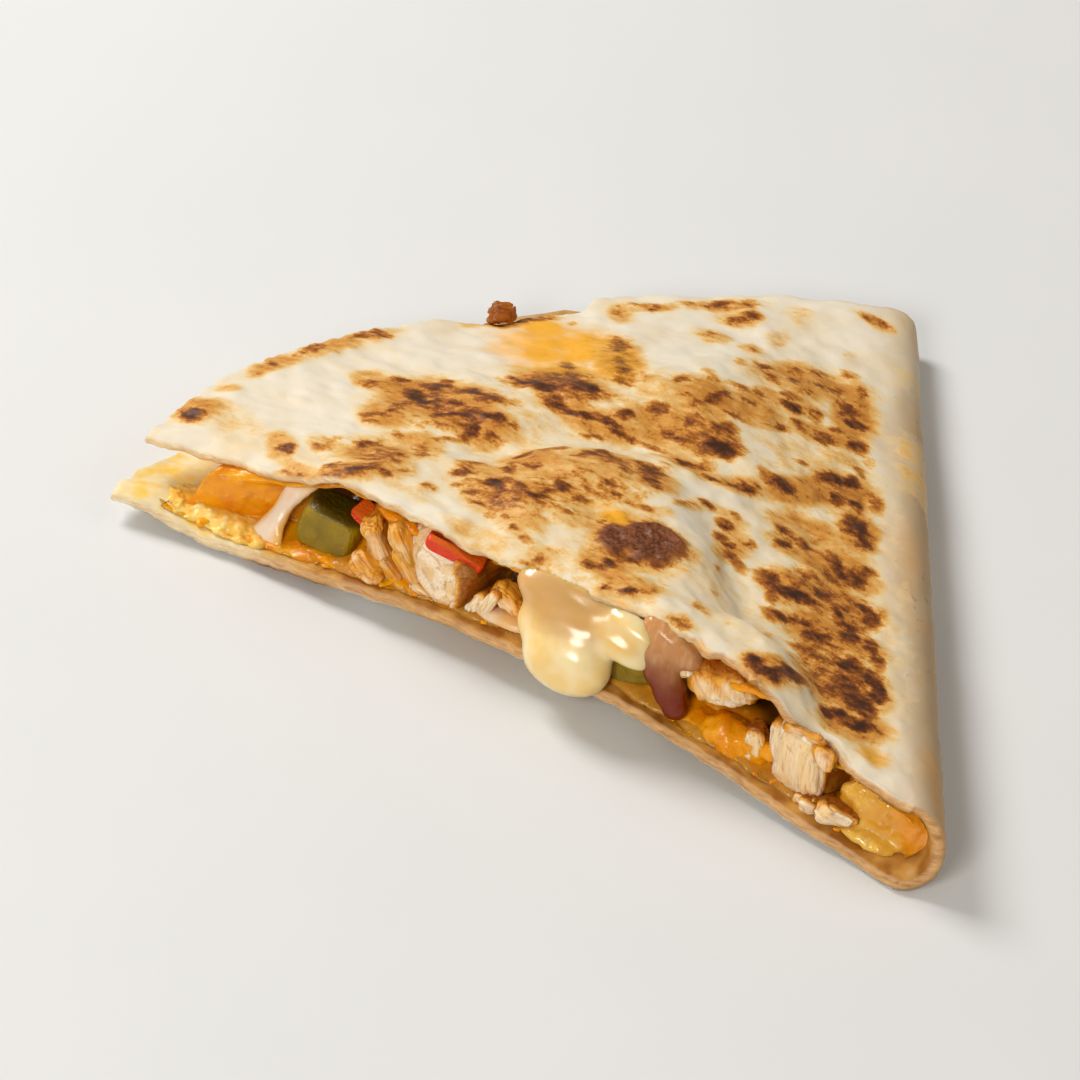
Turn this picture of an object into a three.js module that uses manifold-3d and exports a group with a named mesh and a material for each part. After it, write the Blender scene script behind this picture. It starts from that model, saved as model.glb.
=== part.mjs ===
// One wedge of a folded, griddled chicken quesadilla, as it lies on a board.
//
// A round flour tortilla is folded in half over the filling and the half moon is cut into three
// wedges. This is an end wedge. Its three sides are the fold, a knife cut from the middle of the
// fold to the rim, and the round rim. Millimetres, +Z up, the fold runs along +Y.
//
// The shape is worked out with the apex (the cut's end on the fold) at the origin: the food
// reaches towards -X and +Y. The finished group is then moved so that the origin of the part is
// the middle of its footprint, on the board.

import * as THREE from 'three';
import { mergeVertices } from 'three/addons/utils/BufferGeometryUtils.js';
import Module from 'manifold-3d';

const wasm = await Module();
wasm.setup();

const { clamp, degToRad, smoothstep } = THREE.MathUtils;
const mix = (a, b, t) => a + (b - a) * t;
const smooth = (from, to, v) => smoothstep(v, from, to);

// ---------------------------------------------------------------- driving dimensions

const RADIUS = 123; // of the tortilla before folding
const CUT_ANGLE = degToRad(62); // between the fold and the straight line of the cut
const CUT_BOW = 5; // how far the middle of the cut bends in towards the fold
const SHEET = 2.2; // thickness of the tortilla
const GAP = 0.35; // kept between pieces that touch

const FOLD_IN = 2.5; // the flaps end and the bend starts this far inside the apex
const FOLD_OUT = 2.5; // the bend bulges this far outside the apex
const FOLD_HEIGHT_APEX = 12; // height of the bend at the cut
const FOLD_HEIGHT_BACK = 7; // and where it meets the rim

const BODY_HEIGHT = 14.3; // over the filling
const SHOULDER = 30; // the top climbs from the bend to the body over this width
const RIM_BAND = 34; // and falls to the rim over this width
const RIM_HEIGHT_FOLD = 7.2; // rim of the top flap beside the fold
const RIM_HEIGHT_CUT = 10.2; // and at the cut
const CUT_LIFT = 4.2; // the bottom flap's cut edge bows up off the board
const LIFT_LENGTH = 120; // over this length of the cut
const LIFT_WIDTH = 26; // and this far into the food
const SET_BACK_APEX = 2.8; // the top flap's cut edge stands behind the bottom flap's
const SET_BACK_RIM = 7.4;

const NOTCH_FROM = 0.36; // angles at the rim, from the fold, where the top flap steps back
const NOTCH_TO = 0.58; // and the bottom flap curls up behind it
const NOTCH_IN = 0.03; // it steps back within this angle
const NOTCH_OUT = 0.08; // and comes forward again within this one
const NOTCH_DEPTH = 2.4;
const CURL_HEIGHT = 4.2;
const CURL_BAND = 10;

// Where the filling pushes the top flap up.
const MOUNDS = [
  // over the melted cheese behind the middle of the cut
  { x: -44, y: 42, width: 21, length: 31, height: 3.6 },
  // over the largest chicken piece
  { x: -66, y: 46, width: 25, length: 19, height: 2.3 },
  // over the chicken and onion near the apex
  { x: -30, y: 22, width: 17, length: 16, height: 4.3 },
];

// These move the middle of the footprint to the origin.
const SHIFT_X = 53.05;
const SHIFT_Y = -62.6;

// ---------------------------------------------------------------- the plan

const SIN = Math.sin(CUT_ANGLE);
const COS = Math.cos(CUT_ANGLE);
const BOW_TURN = (4 * CUT_BOW) / RADIUS; // the bowed cut starts this much nearer the fold

const bow = (along) => {
  const s = clamp(along / RADIUS, 0, 1);
  return CUT_BOW * 4 * s * (1 - s);
};

// A place is also told as seen from the cut: its distance from the apex along the cut, and its
// depth into the food behind the bottom flap's edge.
function fromCut(x, y) {
  const along = -x * SIN + y * COS;
  return { along, depth: x * COS + y * SIN - bow(along) };
}
function toPlan(along, depth) {
  const inward = depth + bow(along);
  return { x: -along * SIN + inward * COS, y: along * COS + inward * SIN };
}

const rimTurn = (x, y) => Math.atan2(-x, y);
const inNotch = (turn) =>
  smooth(NOTCH_FROM, NOTCH_FROM + NOTCH_IN, turn) * (1 - smooth(NOTCH_TO - NOTCH_OUT, NOTCH_TO, turn));

// ---------------------------------------------------------------- the two faces of the food

// Slow waves of a soft flatbread: heights, turns per millimetre and a starting turn.
const WAVES = [
  { height: 0.28, turnX: 0.21, turnY: 0.09, start: 1.0 },
  { height: 0.22, turnX: 0.13, turnY: -0.24, start: 2.1 },
  { height: 0.14, turnX: 0.37, turnY: 0.31, start: 0.0 },
];
const waves = (x, y) =>
  WAVES.reduce((sum, wave) => sum + wave.height * Math.sin(wave.turnX * x + wave.turnY * y + wave.start), 0);

// Mounds push up with a flat top and a rather steep side, and merge into one another.
const FLAT_SHARE = 0.5;
const MERGE = 4;

function mounds(x, y) {
  let sum = 0;
  for (const { x: cx, y: cy, width, length, height } of MOUNDS) {
    const rho = Math.hypot((x - cx) / width, (y - cy) / length);
    sum += (height * (1 - smooth(FLAT_SHARE, 1, rho))) ** MERGE;
  }
  return sum ** (1 / MERGE);
}

// The rim rises between these shares of the way round to the cut, and beside the fold the fall
// towards it gives way to the bend.
const RIM_RISE_FROM = 0.46;
const RIM_RISE_TO = 0.8;
const BEND_SIDE = -2;
const BEND_CLEAR = 12;

// Outer face of the top flap.
function upper(x, y) {
  const fold = mix(FOLD_HEIGHT_APEX, FOLD_HEIGHT_BACK, clamp(y / RADIUS, 0, 1));
  const climb = smooth(0, SHOULDER, -x - FOLD_IN);
  const body = mix(fold, BODY_HEIGHT, climb) + waves(x, y) * climb;
  const turn = clamp(rimTurn(x, y) / CUT_ANGLE, 0, 1);
  const rim = mix(RIM_HEIGHT_FOLD, RIM_HEIGHT_CUT, smooth(RIM_RISE_FROM, RIM_RISE_TO, turn));
  const fall = smooth(RADIUS - RIM_BAND, RADIUS, Math.hypot(x, y));
  return mix(body, rim, fall * smooth(BEND_SIDE, BEND_CLEAR, -x)) + mounds(x, y);
}

// Outer face of the bottom flap: flat on the board, but its cut edge bows up in the middle and
// its rim curls up in the notch of the top one.
function lower(x, y) {
  const { along, depth } = fromCut(x, y);
  const arch = Math.sin(Math.PI * clamp(along / LIFT_LENGTH, 0, 1)) ** 2;
  const curl = inNotch(rimTurn(x, y)) * smooth(RADIUS - CURL_BAND, RADIUS, Math.hypot(x, y));
  return CUT_LIFT * arch * (1 - smooth(0, LIFT_WIDTH, depth)) + CURL_HEIGHT * curl;
}

// ---------------------------------------------------------------- the folded sheet

// Rows of each flap run from the apex (0) to the rim (1) and turn about the flap's own apex,
// where its cut edge meets the start of the bend. across is 0 at the bend and 1 at the cut. The
// set back grows to its full size from this row on.
const SET_BACK_FROM = 0.55;

function flap(setBackApex, setBackRim, rimShape) {
  const apex = { x: -FOLD_IN, y: (setBackApex + FOLD_IN * COS) / SIN };
  const reach = (phi) => {
    const ahead = -apex.x * Math.sin(phi) + apex.y * Math.cos(phi);
    const rim = RADIUS + rimShape(phi);
    return Math.sqrt(ahead ** 2 - apex.x ** 2 - apex.y ** 2 + rim ** 2) - ahead;
  };
  const edge = (s) => {
    const extra = (setBackRim - setBackApex) * smooth(SET_BACK_FROM, 1, s);
    return CUT_ANGLE - BOW_TURN * (1 - s) - extra / (s * RADIUS);
  };
  return (s, across) => {
    const phi = across * edge(s);
    const rho = s * reach(phi);
    return { x: apex.x - rho * Math.sin(phi), y: apex.y + rho * Math.cos(phi) };
  };
}

// The rims are not quite round.
const topRim = (phi) =>
  0.45 * Math.sin(9 * phi + 1) + 0.3 * Math.sin(23 * phi) - NOTCH_DEPTH * inNotch(phi);
const bottomRim = (phi) => 0.5 * Math.sin(7 * phi) - 0.5;
const topPlan = flap(SET_BACK_APEX, SET_BACK_RIM, topRim);
const bottomPlan = flap(0, 0, bottomRim);

const FIRST_ROW = 0.016; // the wedge's tip is about as blunt as the sheet is thick
const ASKEW = 0.12; // the cut crosses the bend askew, which shows in this share of the rows

// A point of the sheet's outer face. u runs from the bottom flap's cut edge (0) to the bend
// (1 to 2) and on to the top flap's cut edge (3).
function sheetPoint(s, u) {
  if (u <= 1) {
    const { x, y } = bottomPlan(s, 1 - u);
    return new THREE.Vector3(x, y, lower(x, y));
  }
  if (u >= 2) {
    const { x, y } = topPlan(s, u - 2);
    return new THREE.Vector3(x, y, upper(x, y));
  }
  const start = bottomPlan(s, 0);
  const end = topPlan(s, 0);
  const out = (FOLD_IN + FOLD_OUT) * Math.sin((u - 1) * Math.PI);
  const climb = (1 - Math.cos((u - 1) * Math.PI)) / 2;
  const askew = ((out * COS) / SIN) * (1 - smooth(0, ASKEW, s));
  return new THREE.Vector3(
    -FOLD_IN + out,
    mix(start.y, end.y, climb) - askew,
    mix(lower(start.x, start.y), upper(end.x, end.y), climb),
  );
}

function meshOf(points, triangles) {
  const geometry = new THREE.BufferGeometry();
  const flat = points.flatMap((p) => p.toArray());
  geometry.setAttribute('position', new THREE.Float32BufferAttribute(flat, 3));
  geometry.setIndex(triangles);
  return geometry;
}

// Two like grids of points, one over the other, closed all round into one body.
function slab(front, back, rows, columns) {
  const at = (side, i, j) => side * rows * columns + i * columns + j;
  const triangles = [];
  const quad = (a, b, c, d) => triangles.push(a, b, c, a, c, d);
  const endRow = rows - 1;
  const endColumn = columns - 1;
  for (let i = 0; i < endRow; i++) {
    for (let j = 0; j < endColumn; j++) {
      quad(at(0, i, j), at(0, i + 1, j), at(0, i + 1, j + 1), at(0, i, j + 1));
      quad(at(1, i, j), at(1, i, j + 1), at(1, i + 1, j + 1), at(1, i + 1, j));
    }
    quad(at(0, i, 0), at(1, i, 0), at(1, i + 1, 0), at(0, i + 1, 0));
    quad(at(0, i + 1, endColumn), at(1, i + 1, endColumn), at(1, i, endColumn), at(0, i, endColumn));
  }
  for (let j = 0; j < endColumn; j++) {
    quad(at(0, 0, j + 1), at(1, 0, j + 1), at(1, 0, j), at(0, 0, j));
    quad(at(0, endRow, j), at(1, endRow, j), at(1, endRow, j + 1), at(0, endRow, j + 1));
  }
  return meshOf([...front, ...back], triangles);
}

const SHEET_ROWS = 25;
const FLAP_COLUMNS = 16;
const BEND_COLUMNS = 8;

// Moves an edge point straight away from its neighbour.
function pushOut(edge, neighbour, distance) {
  const outward = edge.clone().sub(neighbour).normalize();
  edge.addScaledVector(outward, distance);
}

// The folded tortilla, or the room round it when it is made thicker by grow.
function foldedSheet(grow = 0) {
  const across = [];
  for (let j = 0; j <= FLAP_COLUMNS; j++) across.push(j / FLAP_COLUMNS);
  for (let j = 1; j < BEND_COLUMNS; j++) across.push(1 + j / BEND_COLUMNS);
  for (let j = 0; j <= FLAP_COLUMNS; j++) across.push(2 + j / FLAP_COLUMNS);
  const columns = across.length;
  const points = [];
  for (let i = 0; i < SHEET_ROWS; i++) {
    const s = mix(FIRST_ROW, 1, i / (SHEET_ROWS - 1));
    const row = across.map((u) => sheetPoint(s, u));
    pushOut(row[0], row[1], grow);
    pushOut(row[columns - 1], row[columns - 2], grow);
    points.push(...row);
  }
  const face = [];
  for (let i = 0; i < SHEET_ROWS - 1; i++) {
    for (let j = 0; j < columns - 1; j++) {
      const a = i * columns + j;
      face.push(a, a + 1 + columns, a + 1, a, a + columns, a + 1 + columns);
    }
  }
  const skin = meshOf(points, face);
  skin.computeVertexNormals();
  const normal = (k) => new THREE.Vector3().fromBufferAttribute(skin.getAttribute('normal'), k);
  const offset = (distance) => points.map((p, k) => p.clone().addScaledVector(normal(k), distance));
  return slab(offset(grow), offset(-SHEET - grow), SHEET_ROWS, columns);
}

// ---------------------------------------------------------------- joining and cutting

function solid(geometry) {
  const bare = geometry.clone();
  bare.deleteAttribute('normal');
  bare.deleteAttribute('uv');
  const merged = mergeVertices(bare, 1e-4);
  return new wasm.Manifold(new wasm.Mesh({
    numProp: 3,
    vertProperties: new Float32Array(merged.getAttribute('position').array),
    triVerts: new Uint32Array(merged.getIndex().array),
  }));
}

function geometryOf(body) {
  const { vertProperties, triVerts } = body.getMesh();
  const geometry = new THREE.BufferGeometry();
  geometry.setAttribute('position', new THREE.BufferAttribute(new Float32Array(vertProperties), 3));
  geometry.setIndex(new THREE.BufferAttribute(new Uint32Array(triVerts), 1));
  return geometry;
}

const joined = (bodies) => bodies.reduce((all, one) => all.add(one));

// Scraps that a cut leaves loose are dropped.
const largest = (body) =>
  body.decompose().reduce((best, one) => (one.volume() > best.volume() ? one : best));

// ---------------------------------------------------------------- the room between the flaps

const SLOPE_STEP = 0.5;

// Vertical room that a layer of this thickness takes under or over a sloping face.
function upright(thickness, face, x, y) {
  const dx = (face(x + SLOPE_STEP, y) - face(x - SLOPE_STEP, y)) / (2 * SLOPE_STEP);
  const dy = (face(x, y + SLOPE_STEP) - face(x, y - SLOPE_STEP)) / (2 * SLOPE_STEP);
  return thickness * Math.sqrt(1 + dx * dx + dy * dy);
}
const ceiling = (x, y, gap = GAP) => upper(x, y) - upright(SHEET + gap, upper, x, y);
const ground = (x, y, gap = GAP) => lower(x, y) + upright(SHEET + gap, lower, x, y);

// The room along the cut, drawn out past it to the front, trims the pieces of the filling.
const POCKET = { from: 9, to: 119, front: -9, back: 24, rows: 45, columns: 10 };

function pocket() {
  const top = [];
  const bottom = [];
  for (let i = 0; i < POCKET.rows; i++) {
    for (let j = 0; j < POCKET.columns; j++) {
      const along = mix(POCKET.from, POCKET.to, i / (POCKET.rows - 1));
      const depth = mix(POCKET.front, POCKET.back, j / (POCKET.columns - 1));
      const { x, y } = toPlan(along, depth);
      top.push(new THREE.Vector3(x, y, ceiling(x, y)));
      bottom.push(new THREE.Vector3(x, y, ground(x, y)));
    }
  }
  return solid(slab(bottom, top, POCKET.rows, POCKET.columns));
}

// ---------------------------------------------------------------- pieces of the filling

// Seeded random numbers, so that the part is the same on every run.
function randomFrom(seed) {
  let state = seed;
  return () => {
    state = (state * 1664525 + 1013904223) % 4294967296;
    return state / 4294967296;
  };
}

// A lump: a ball pushed towards a box, with seeded dents, bent about its length. size is [along
// the cut, into the food, up]; square is 0 for an egg and 1 for nearly a dice.
function lump({ size, square = 0.3, dents = 0.06, bend = 0, fine = 3, seed = 1 }, grow = 0) {
  const random = randomFrom(seed);
  const ripples = Array.from({ length: 5 }, () => ({
    along: new THREE.Vector3(random() - 0.5, random() - 0.5, random() - 0.5).multiplyScalar(7),
    phase: random() * Math.PI * 2,
  }));
  const geometry = new THREE.IcosahedronGeometry(1, fine);
  const place = geometry.getAttribute('position');
  const power = mix(1, 0.42, square);
  const p = new THREE.Vector3();
  for (let k = 0; k < place.count; k++) {
    p.fromBufferAttribute(place, k);
    const relief = ripples.reduce((sum, { along, phase }) => sum + Math.sin(p.dot(along) + phase), 0);
    const swell = 1 + (dents * relief) / 2;
    const [x, y, z] = p.toArray().map((v, axis) => {
      const side = Math.sign(v);
      const rounded = side * Math.abs(v) ** power * swell * (size[axis] / 2);
      return rounded + side * grow * Math.min(1, 2 * Math.abs(v));
    });
    place.setXYZ(k, x, y, z + bend * ((2 * x / size[0]) ** 2 - 0.5));
  }
  return geometry;
}

// Sets a piece at [along the cut, depth behind it, height]: its X runs along the cut towards the
// apex and its Y into the food. Degrees: roll in the plane of the cut, yaw seen from above,
// pitch nodding forward.
function set(geometry, { at: [along, depth, height], roll = 0, yaw = 0, pitch = 0 }) {
  const { x, y } = toPlan(along, depth);
  geometry.rotateX(degToRad(pitch));
  geometry.rotateY(degToRad(-roll));
  geometry.rotateZ(degToRad(yaw) + CUT_ANGLE - Math.PI / 2);
  geometry.translate(x, y, height);
  return geometry;
}

// The pieces that show at the cut. Where two meet, the later one gives way to the earlier one.
// A proud piece hangs out past the top flap's edge, so only the sheet itself trims it.
const CUT_PIECES = {
  chicken_1: {
    size: [15.5, 15, 10.5], square: 0.6, dents: 0.07, coarse: 3, seed: 3,
    at: [76, 9, 9.6], roll: -8, yaw: 10,
  },
  chicken_2: {
    size: [11.5, 11, 6.6], square: 0.4, dents: 0.06, seed: 5,
    at: [35.6, 7.6, 12.4], roll: 12, yaw: 6,
  },
  chicken_3: {
    size: [10.8, 12, 11.5], square: 0.8, dents: 0.05, seed: 8,
    at: [20.4, 7.2, 8.2], roll: 6, yaw: -8,
  },
  green_pepper_1: {
    size: [7.8, 7.6, 8.8], square: 0.85, dents: 0.02, seed: 2,
    at: [94.2, 6.2, 7.8], roll: 4, yaw: 14, pitch: -10,
  },
  green_pepper_2: {
    size: [7.6, 5.4, 5.6], square: 0.8, dents: 0.02, fine: 2, seed: 4,
    at: [48.2, 4.4, 8.8], roll: 18, yaw: 8,
  },
  red_onion_1: {
    size: [13.6, 3.4, 5.4], dents: 0.03, bend: 1.4, fine: 2, seed: 6,
    at: [43, 1.7, 11.6], roll: -54, yaw: 8,
  },
  red_pepper_1: {
    size: [7, 5, 3.4], square: 0.75, dents: 0.03, fine: 2, seed: 9,
    at: [75.6, 1.4, 13.9], roll: -14, yaw: 8, proud: true,
  },
  red_pepper_2: {
    size: [3.4, 3.6, 3.2], square: 0.7, dents: 0.03, fine: 1, coarse: 1, seed: 11,
    at: [89.2, 4.0, 11.0], roll: 30,
  },
  chicken_shred_1: {
    size: [3, 7, 7.8], dents: 0.06, fine: 2, seed: 12,
    at: [86.6, 6, 8.8], roll: 24, yaw: 10,
  },
  chicken_shred_2: {
    size: [4.8, 5, 2.6], dents: 0.07, fine: 1, coarse: 1, seed: 13,
    at: [86.2, 3.0, 5.9], roll: -12, yaw: -14,
  },
  chicken_bit_1: {
    size: [6.4, 5, 3.4], dents: 0.08, fine: 2, seed: 14,
    at: [67.2, 3.2, 9.6], roll: -26, yaw: 12,
  },
  chicken_bit_2: {
    size: [2.8, 3.4, 5.4], dents: 0.08, fine: 1, coarse: 1, seed: 15,
    at: [28.2, 3.4, 7.0], roll: 12,
  },
  chicken_bit_3: {
    size: [5.2, 4, 2.6], dents: 0.08, fine: 1, coarse: 1, seed: 16,
    at: [14.4, 2.4, 4.2], roll: -6, yaw: 6,
  },
  onion_1: {
    size: [9.6, 6, 1.7], square: 0.4, dents: 0.03, fine: 2, seed: 17,
    at: [66.6, 3.4, 7.2], roll: 2,
  },
  onion_2: {
    size: [4.6, 5, 9.8], square: 0.2, dents: 0.04, fine: 2, seed: 18,
    at: [100.8, 5.2, 6.4], roll: 40, yaw: 6,
  },
};

// White cheese melts in a strip that runs back through the food, wells out under the top flap
// and hangs over the bottom flap's edge in a heavy drop, with a small lobe beside it.
const WHITE_CHEESE = [
  {
    size: [15, 46, 4.4], square: 0.6, dents: 0.02, fine: 2, seed: 23,
    at: [56, 30, 9.0], yaw: -4,
  },
  {
    size: [22, 16, 8], square: 0.4, dents: 0.03, coarse: 3, seed: 20,
    at: [54.6, 6.4, 11.9], roll: -5,
  },
  {
    size: [13.5, 8.5, 11.5], square: 0.15, dents: 0.03, seed: 21,
    at: [55.4, -0.6, 8.8],
  },
  {
    size: [11.5, 6.5, 5.6], square: 0.15, dents: 0.03, fine: 2, seed: 22,
    at: [46.8, 1.6, 14.2], roll: -8,
  },
];

// A crumb of chicken has come out over the curled rim.
const CRUMB = { size: [3.8, 3.2, 3.2], dents: 0.12, fine: 1, seed: 19 };
const CRUMB_TURN = 0.493;
const CRUMB_REACH = 121;
const CRUMB_HEIGHT = 8.7;

const shaped = (spec, grow = 0) => solid(set(lump(spec, grow), spec));

const SPARE = 0.15;

// The room round a piece has coarse facets, so it is made a little larger, to clear the piece
// where they cut inside its curve.
const roomOf = (spec) => shaped({ ...spec, fine: spec.coarse ?? 2 }, GAP + SPARE);

function crumb() {
  const geometry = lump(CRUMB);
  const x = -CRUMB_REACH * Math.sin(CRUMB_TURN);
  const y = CRUMB_REACH * Math.cos(CRUMB_TURN);
  geometry.translate(x, y, CRUMB_HEIGHT);
  return solid(geometry);
}

// ---------------------------------------------------------------- the cheddar core

// The core's face stands this far behind the bottom flap's edge. Between the pieces it wells
// forward, or hollows back where forward is negative: up the whole face, or only low or high.
const FACE_DEPTH = 6.2;
const WELLS = [
  // glossy lumps under the second chicken piece
  { along: 35, width: 9, forward: 4.4, only: 'low' },
  // the end of the fold
  { along: 7, width: 6, forward: 3.6 },
  { along: 85, width: 7, forward: 2.6, only: 'low' },
  { along: 60, width: 14, forward: 2.2, only: 'low' },
  // the hollow behind the stretched cheese
  { along: 105, width: 5, forward: -3 },
  { along: 92, width: 4, forward: -2.2, only: 'high' },
];
const FACE_RIPPLE = 0.4;

// level is 0 at the bottom flap and 1 under the top one.
function coreDepth(along, level) {
  const share = { low: 1 - smooth(0.25, 0.95, level), high: level };
  let depth = FACE_DEPTH;
  for (const { along: centre, width, forward, only } of WELLS) {
    depth -= forward * Math.exp(-(((along - centre) / width) ** 2)) * (share[only] ?? 1);
  }
  return depth + FACE_RIPPLE * Math.sin(1.1 * along) * Math.sin(5 * level + along);
}

const CORE = { first: 0.03, last: 0.93, rows: 28, columns: 7, face: 4, bend: 4, gap: 0.55 };
const THIN_FROM = 0.85; // towards the rim the cheese thins out
const THIN_TO = 0.5;
const BEND_REACH = 0.4; // the core fills the bend from this far inside its start

function core() {
  const points = [];
  const foldSide = -FOLD_IN - BEND_REACH;
  const bulge = FOLD_IN + FOLD_OUT - SHEET - CORE.gap - BEND_REACH;
  for (let i = 0; i < CORE.rows; i++) {
    const s = mix(CORE.first, CORE.last, i / (CORE.rows - 1));
    const plan = (across, level) => {
      const { x, y } = bottomPlan(s, across);
      const back = coreDepth(s * RADIUS, level) * across ** 3;
      return { x: Math.min(x + back * COS, foldSide), y: y + back * SIN * (1 - s ** 6) };
    };
    const fill = mix(1, THIN_TO, smooth(THIN_FROM, CORE.last, s));
    const put = ({ x, y }, level) => {
      const height = mix(ground(x, y, CORE.gap), ceiling(x, y, CORE.gap), level * fill);
      points.push(new THREE.Vector3(x, y, height));
    };
    for (let j = CORE.columns; j >= 0; j--) put(plan(j / CORE.columns, 0), 0);
    const corner = plan(0, 0);
    for (let k = 1; k < CORE.bend; k++) {
      const turn = (k / CORE.bend) * Math.PI;
      put(corner, (1 - Math.cos(turn)) / 2);
      points.at(-1).x += bulge * Math.sin(turn);
    }
    for (let j = 0; j <= CORE.columns; j++) put(plan(j / CORE.columns, 1), 1);
    for (let k = CORE.face - 1; k > 0; k--) put(plan(1, k / CORE.face), k / CORE.face);
  }
  const ringLength = points.length / CORE.rows;
  const triangles = [];
  const ring = (i, j) => i * ringLength + (j % ringLength);
  for (let i = 0; i < CORE.rows - 1; i++) {
    for (let j = 0; j < ringLength; j++) {
      triangles.push(ring(i, j), ring(i + 1, j), ring(i, j + 1));
      triangles.push(ring(i, j + 1), ring(i + 1, j), ring(i + 1, j + 1));
    }
  }
  for (const i of [0, CORE.rows - 1]) {
    const rim = points.slice(ring(i, 0), ring(i, 0) + ringLength);
    const middle = rim.reduce((sum, p) => sum.add(p), new THREE.Vector3()).divideScalar(ringLength);
    const hub = points.push(middle) - 1;
    for (let j = 0; j < ringLength; j++) {
      if (i === 0) triangles.push(hub, ring(i, j), ring(i, j + 1));
      else triangles.push(hub, ring(i, j + 1), ring(i, j));
    }
  }
  return solid(meshOf(points, triangles));
}

// ---------------------------------------------------------------- putting the wedge together

const FINISHES = {
  tortilla: { color: 0xe2bf86, roughness: 0.75 },
  cheddar: { color: 0xe39a2c, roughness: 0.35 },
  white_cheese: { color: 0xf0dca0, roughness: 0.3 },
  chicken: { color: 0xcf9f6c, roughness: 0.6 },
  green_pepper: { color: 0x6f7c22, roughness: 0.35 },
  red_pepper: { color: 0xc8401c, roughness: 0.35 },
  red_onion: { color: 0x8a4a4c, roughness: 0.3 },
  onion: { color: 0xd9b9a0, roughness: 0.3 },
};

const quesadilla = new THREE.Group();
quesadilla.position.set(SHIFT_X, SHIFT_Y, 0);

function add(name, body) {
  const kind = Object.keys(FINISHES).find((key) => name.startsWith(key));
  const material = new THREE.MeshStandardMaterial({ ...FINISHES[kind], metalness: 0 });
  const mesh = new THREE.Mesh(geometryOf(body), material);
  mesh.name = name;
  quesadilla.add(mesh);
}

add('tortilla', solid(foldedSheet()));

const room = pocket();
const sheetRoom = solid(foldedSheet(GAP));
const taken = [];
for (const [name, spec] of Object.entries(CUT_PIECES)) {
  const whole = shaped(spec);
  const trimmed = spec.proud ? whole.subtract(sheetRoom) : whole.intersect(room);
  add(name, largest(taken.length ? trimmed.subtract(joined(taken)) : trimmed));
  taken.push(roomOf(spec));
}

const piecesRoom = joined(taken);
const melted = joined(WHITE_CHEESE.map((spec) => shaped(spec)));
add('white_cheese', largest(melted.subtract(sheetRoom).subtract(piecesRoom)));

const meltedRoom = joined(WHITE_CHEESE.map(roomOf));
add('cheddar', largest(core().subtract(piecesRoom).subtract(meltedRoom)));

add('chicken_crumb', largest(crumb().subtract(sheetRoom)));

export default quesadilla;
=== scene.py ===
# %% [markdown]
# # A wedge of griddled chicken quesadilla
# A flour tortilla is folded over cheese, chicken, peppers and onion, browned on a griddle and cut
# into wedges. The construction is already settled: solids of the true size stand in the packed
# frame. This lesson dresses them. It loads the frame first, because every piece below takes its
# place from it, and remembers its box, which the finished food has to stay inside.

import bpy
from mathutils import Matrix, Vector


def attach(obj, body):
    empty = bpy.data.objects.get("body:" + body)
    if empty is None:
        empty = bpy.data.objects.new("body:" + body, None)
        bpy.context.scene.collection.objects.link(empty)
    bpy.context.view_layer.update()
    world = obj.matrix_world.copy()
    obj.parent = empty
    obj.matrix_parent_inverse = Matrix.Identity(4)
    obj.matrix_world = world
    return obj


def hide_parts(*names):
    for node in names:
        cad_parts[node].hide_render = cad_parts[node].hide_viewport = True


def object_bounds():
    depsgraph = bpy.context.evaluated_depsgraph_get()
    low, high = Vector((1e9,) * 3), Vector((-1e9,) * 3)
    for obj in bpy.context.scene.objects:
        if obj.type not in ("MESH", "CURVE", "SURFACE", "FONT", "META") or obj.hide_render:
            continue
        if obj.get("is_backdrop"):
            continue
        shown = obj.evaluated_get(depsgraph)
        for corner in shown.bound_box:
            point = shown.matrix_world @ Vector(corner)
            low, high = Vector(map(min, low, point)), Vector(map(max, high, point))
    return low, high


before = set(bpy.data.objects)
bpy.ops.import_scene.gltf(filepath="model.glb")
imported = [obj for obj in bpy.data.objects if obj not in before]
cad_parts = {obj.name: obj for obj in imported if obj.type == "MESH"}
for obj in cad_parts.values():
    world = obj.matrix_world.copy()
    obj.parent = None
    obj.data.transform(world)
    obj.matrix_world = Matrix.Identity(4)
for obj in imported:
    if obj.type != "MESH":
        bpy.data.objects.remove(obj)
cad_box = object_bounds()
print("solids in the frame:", len(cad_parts))

# %% [markdown]
# ## Sizes
# Food is easiest to think of in millimetres, with the wedge's tip at zero: the fold runs along
# +Y and the food reaches towards -X. Blender works in metres, so one matrix at the end of each
# piece scales it down and moves it into the frame. The driving sizes below are the tortilla's,
# and nearly every other place in the file is worked out from them.

# %% Driving sizes, in millimetres
import math
import random

import bmesh
import bpy
import numpy as np
from mathutils import Matrix, Vector, noise

RADIUS = 123.0  # of the tortilla before folding
CUT_ANGLE = math.radians(62)  # between the fold and the cut
CUT_BOW = 5.0  # the middle of the cut bends in this far
SHEET = 2.2  # thickness of the tortilla
FOLD_IN = 2.5  # the bend starts this far inside the tip
FOLD_OUT = 2.5  # and bulges this far outside it
FOLD_HEIGHT_APEX = 12.0
FOLD_HEIGHT_BACK = 7.0
BODY_HEIGHT = 14.3
SHOULDER = 30.0  # width of the climb from the bend
RIM_BAND = 34.0  # width of the fall to the rim
RIM_HEIGHT_FOLD = 7.2
RIM_HEIGHT_CUT = 10.2
RIM_RISE_FROM = 0.46  # share of the rim, from the fold, where it starts to rise to that
RIM_RISE_TO = 0.8
BEND_SIDE = -2.0  # the fall to the rim fades out near the bend, between these
BEND_CLEAR = 12.0
CUT_LIFT = 4.2  # the bottom flap's cut edge bows up
LIFT_LENGTH = 120.0
LIFT_WIDTH = 26.0
SET_BACK_APEX = 2.8  # the top flap's cut edge stands behind the bottom one's
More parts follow.
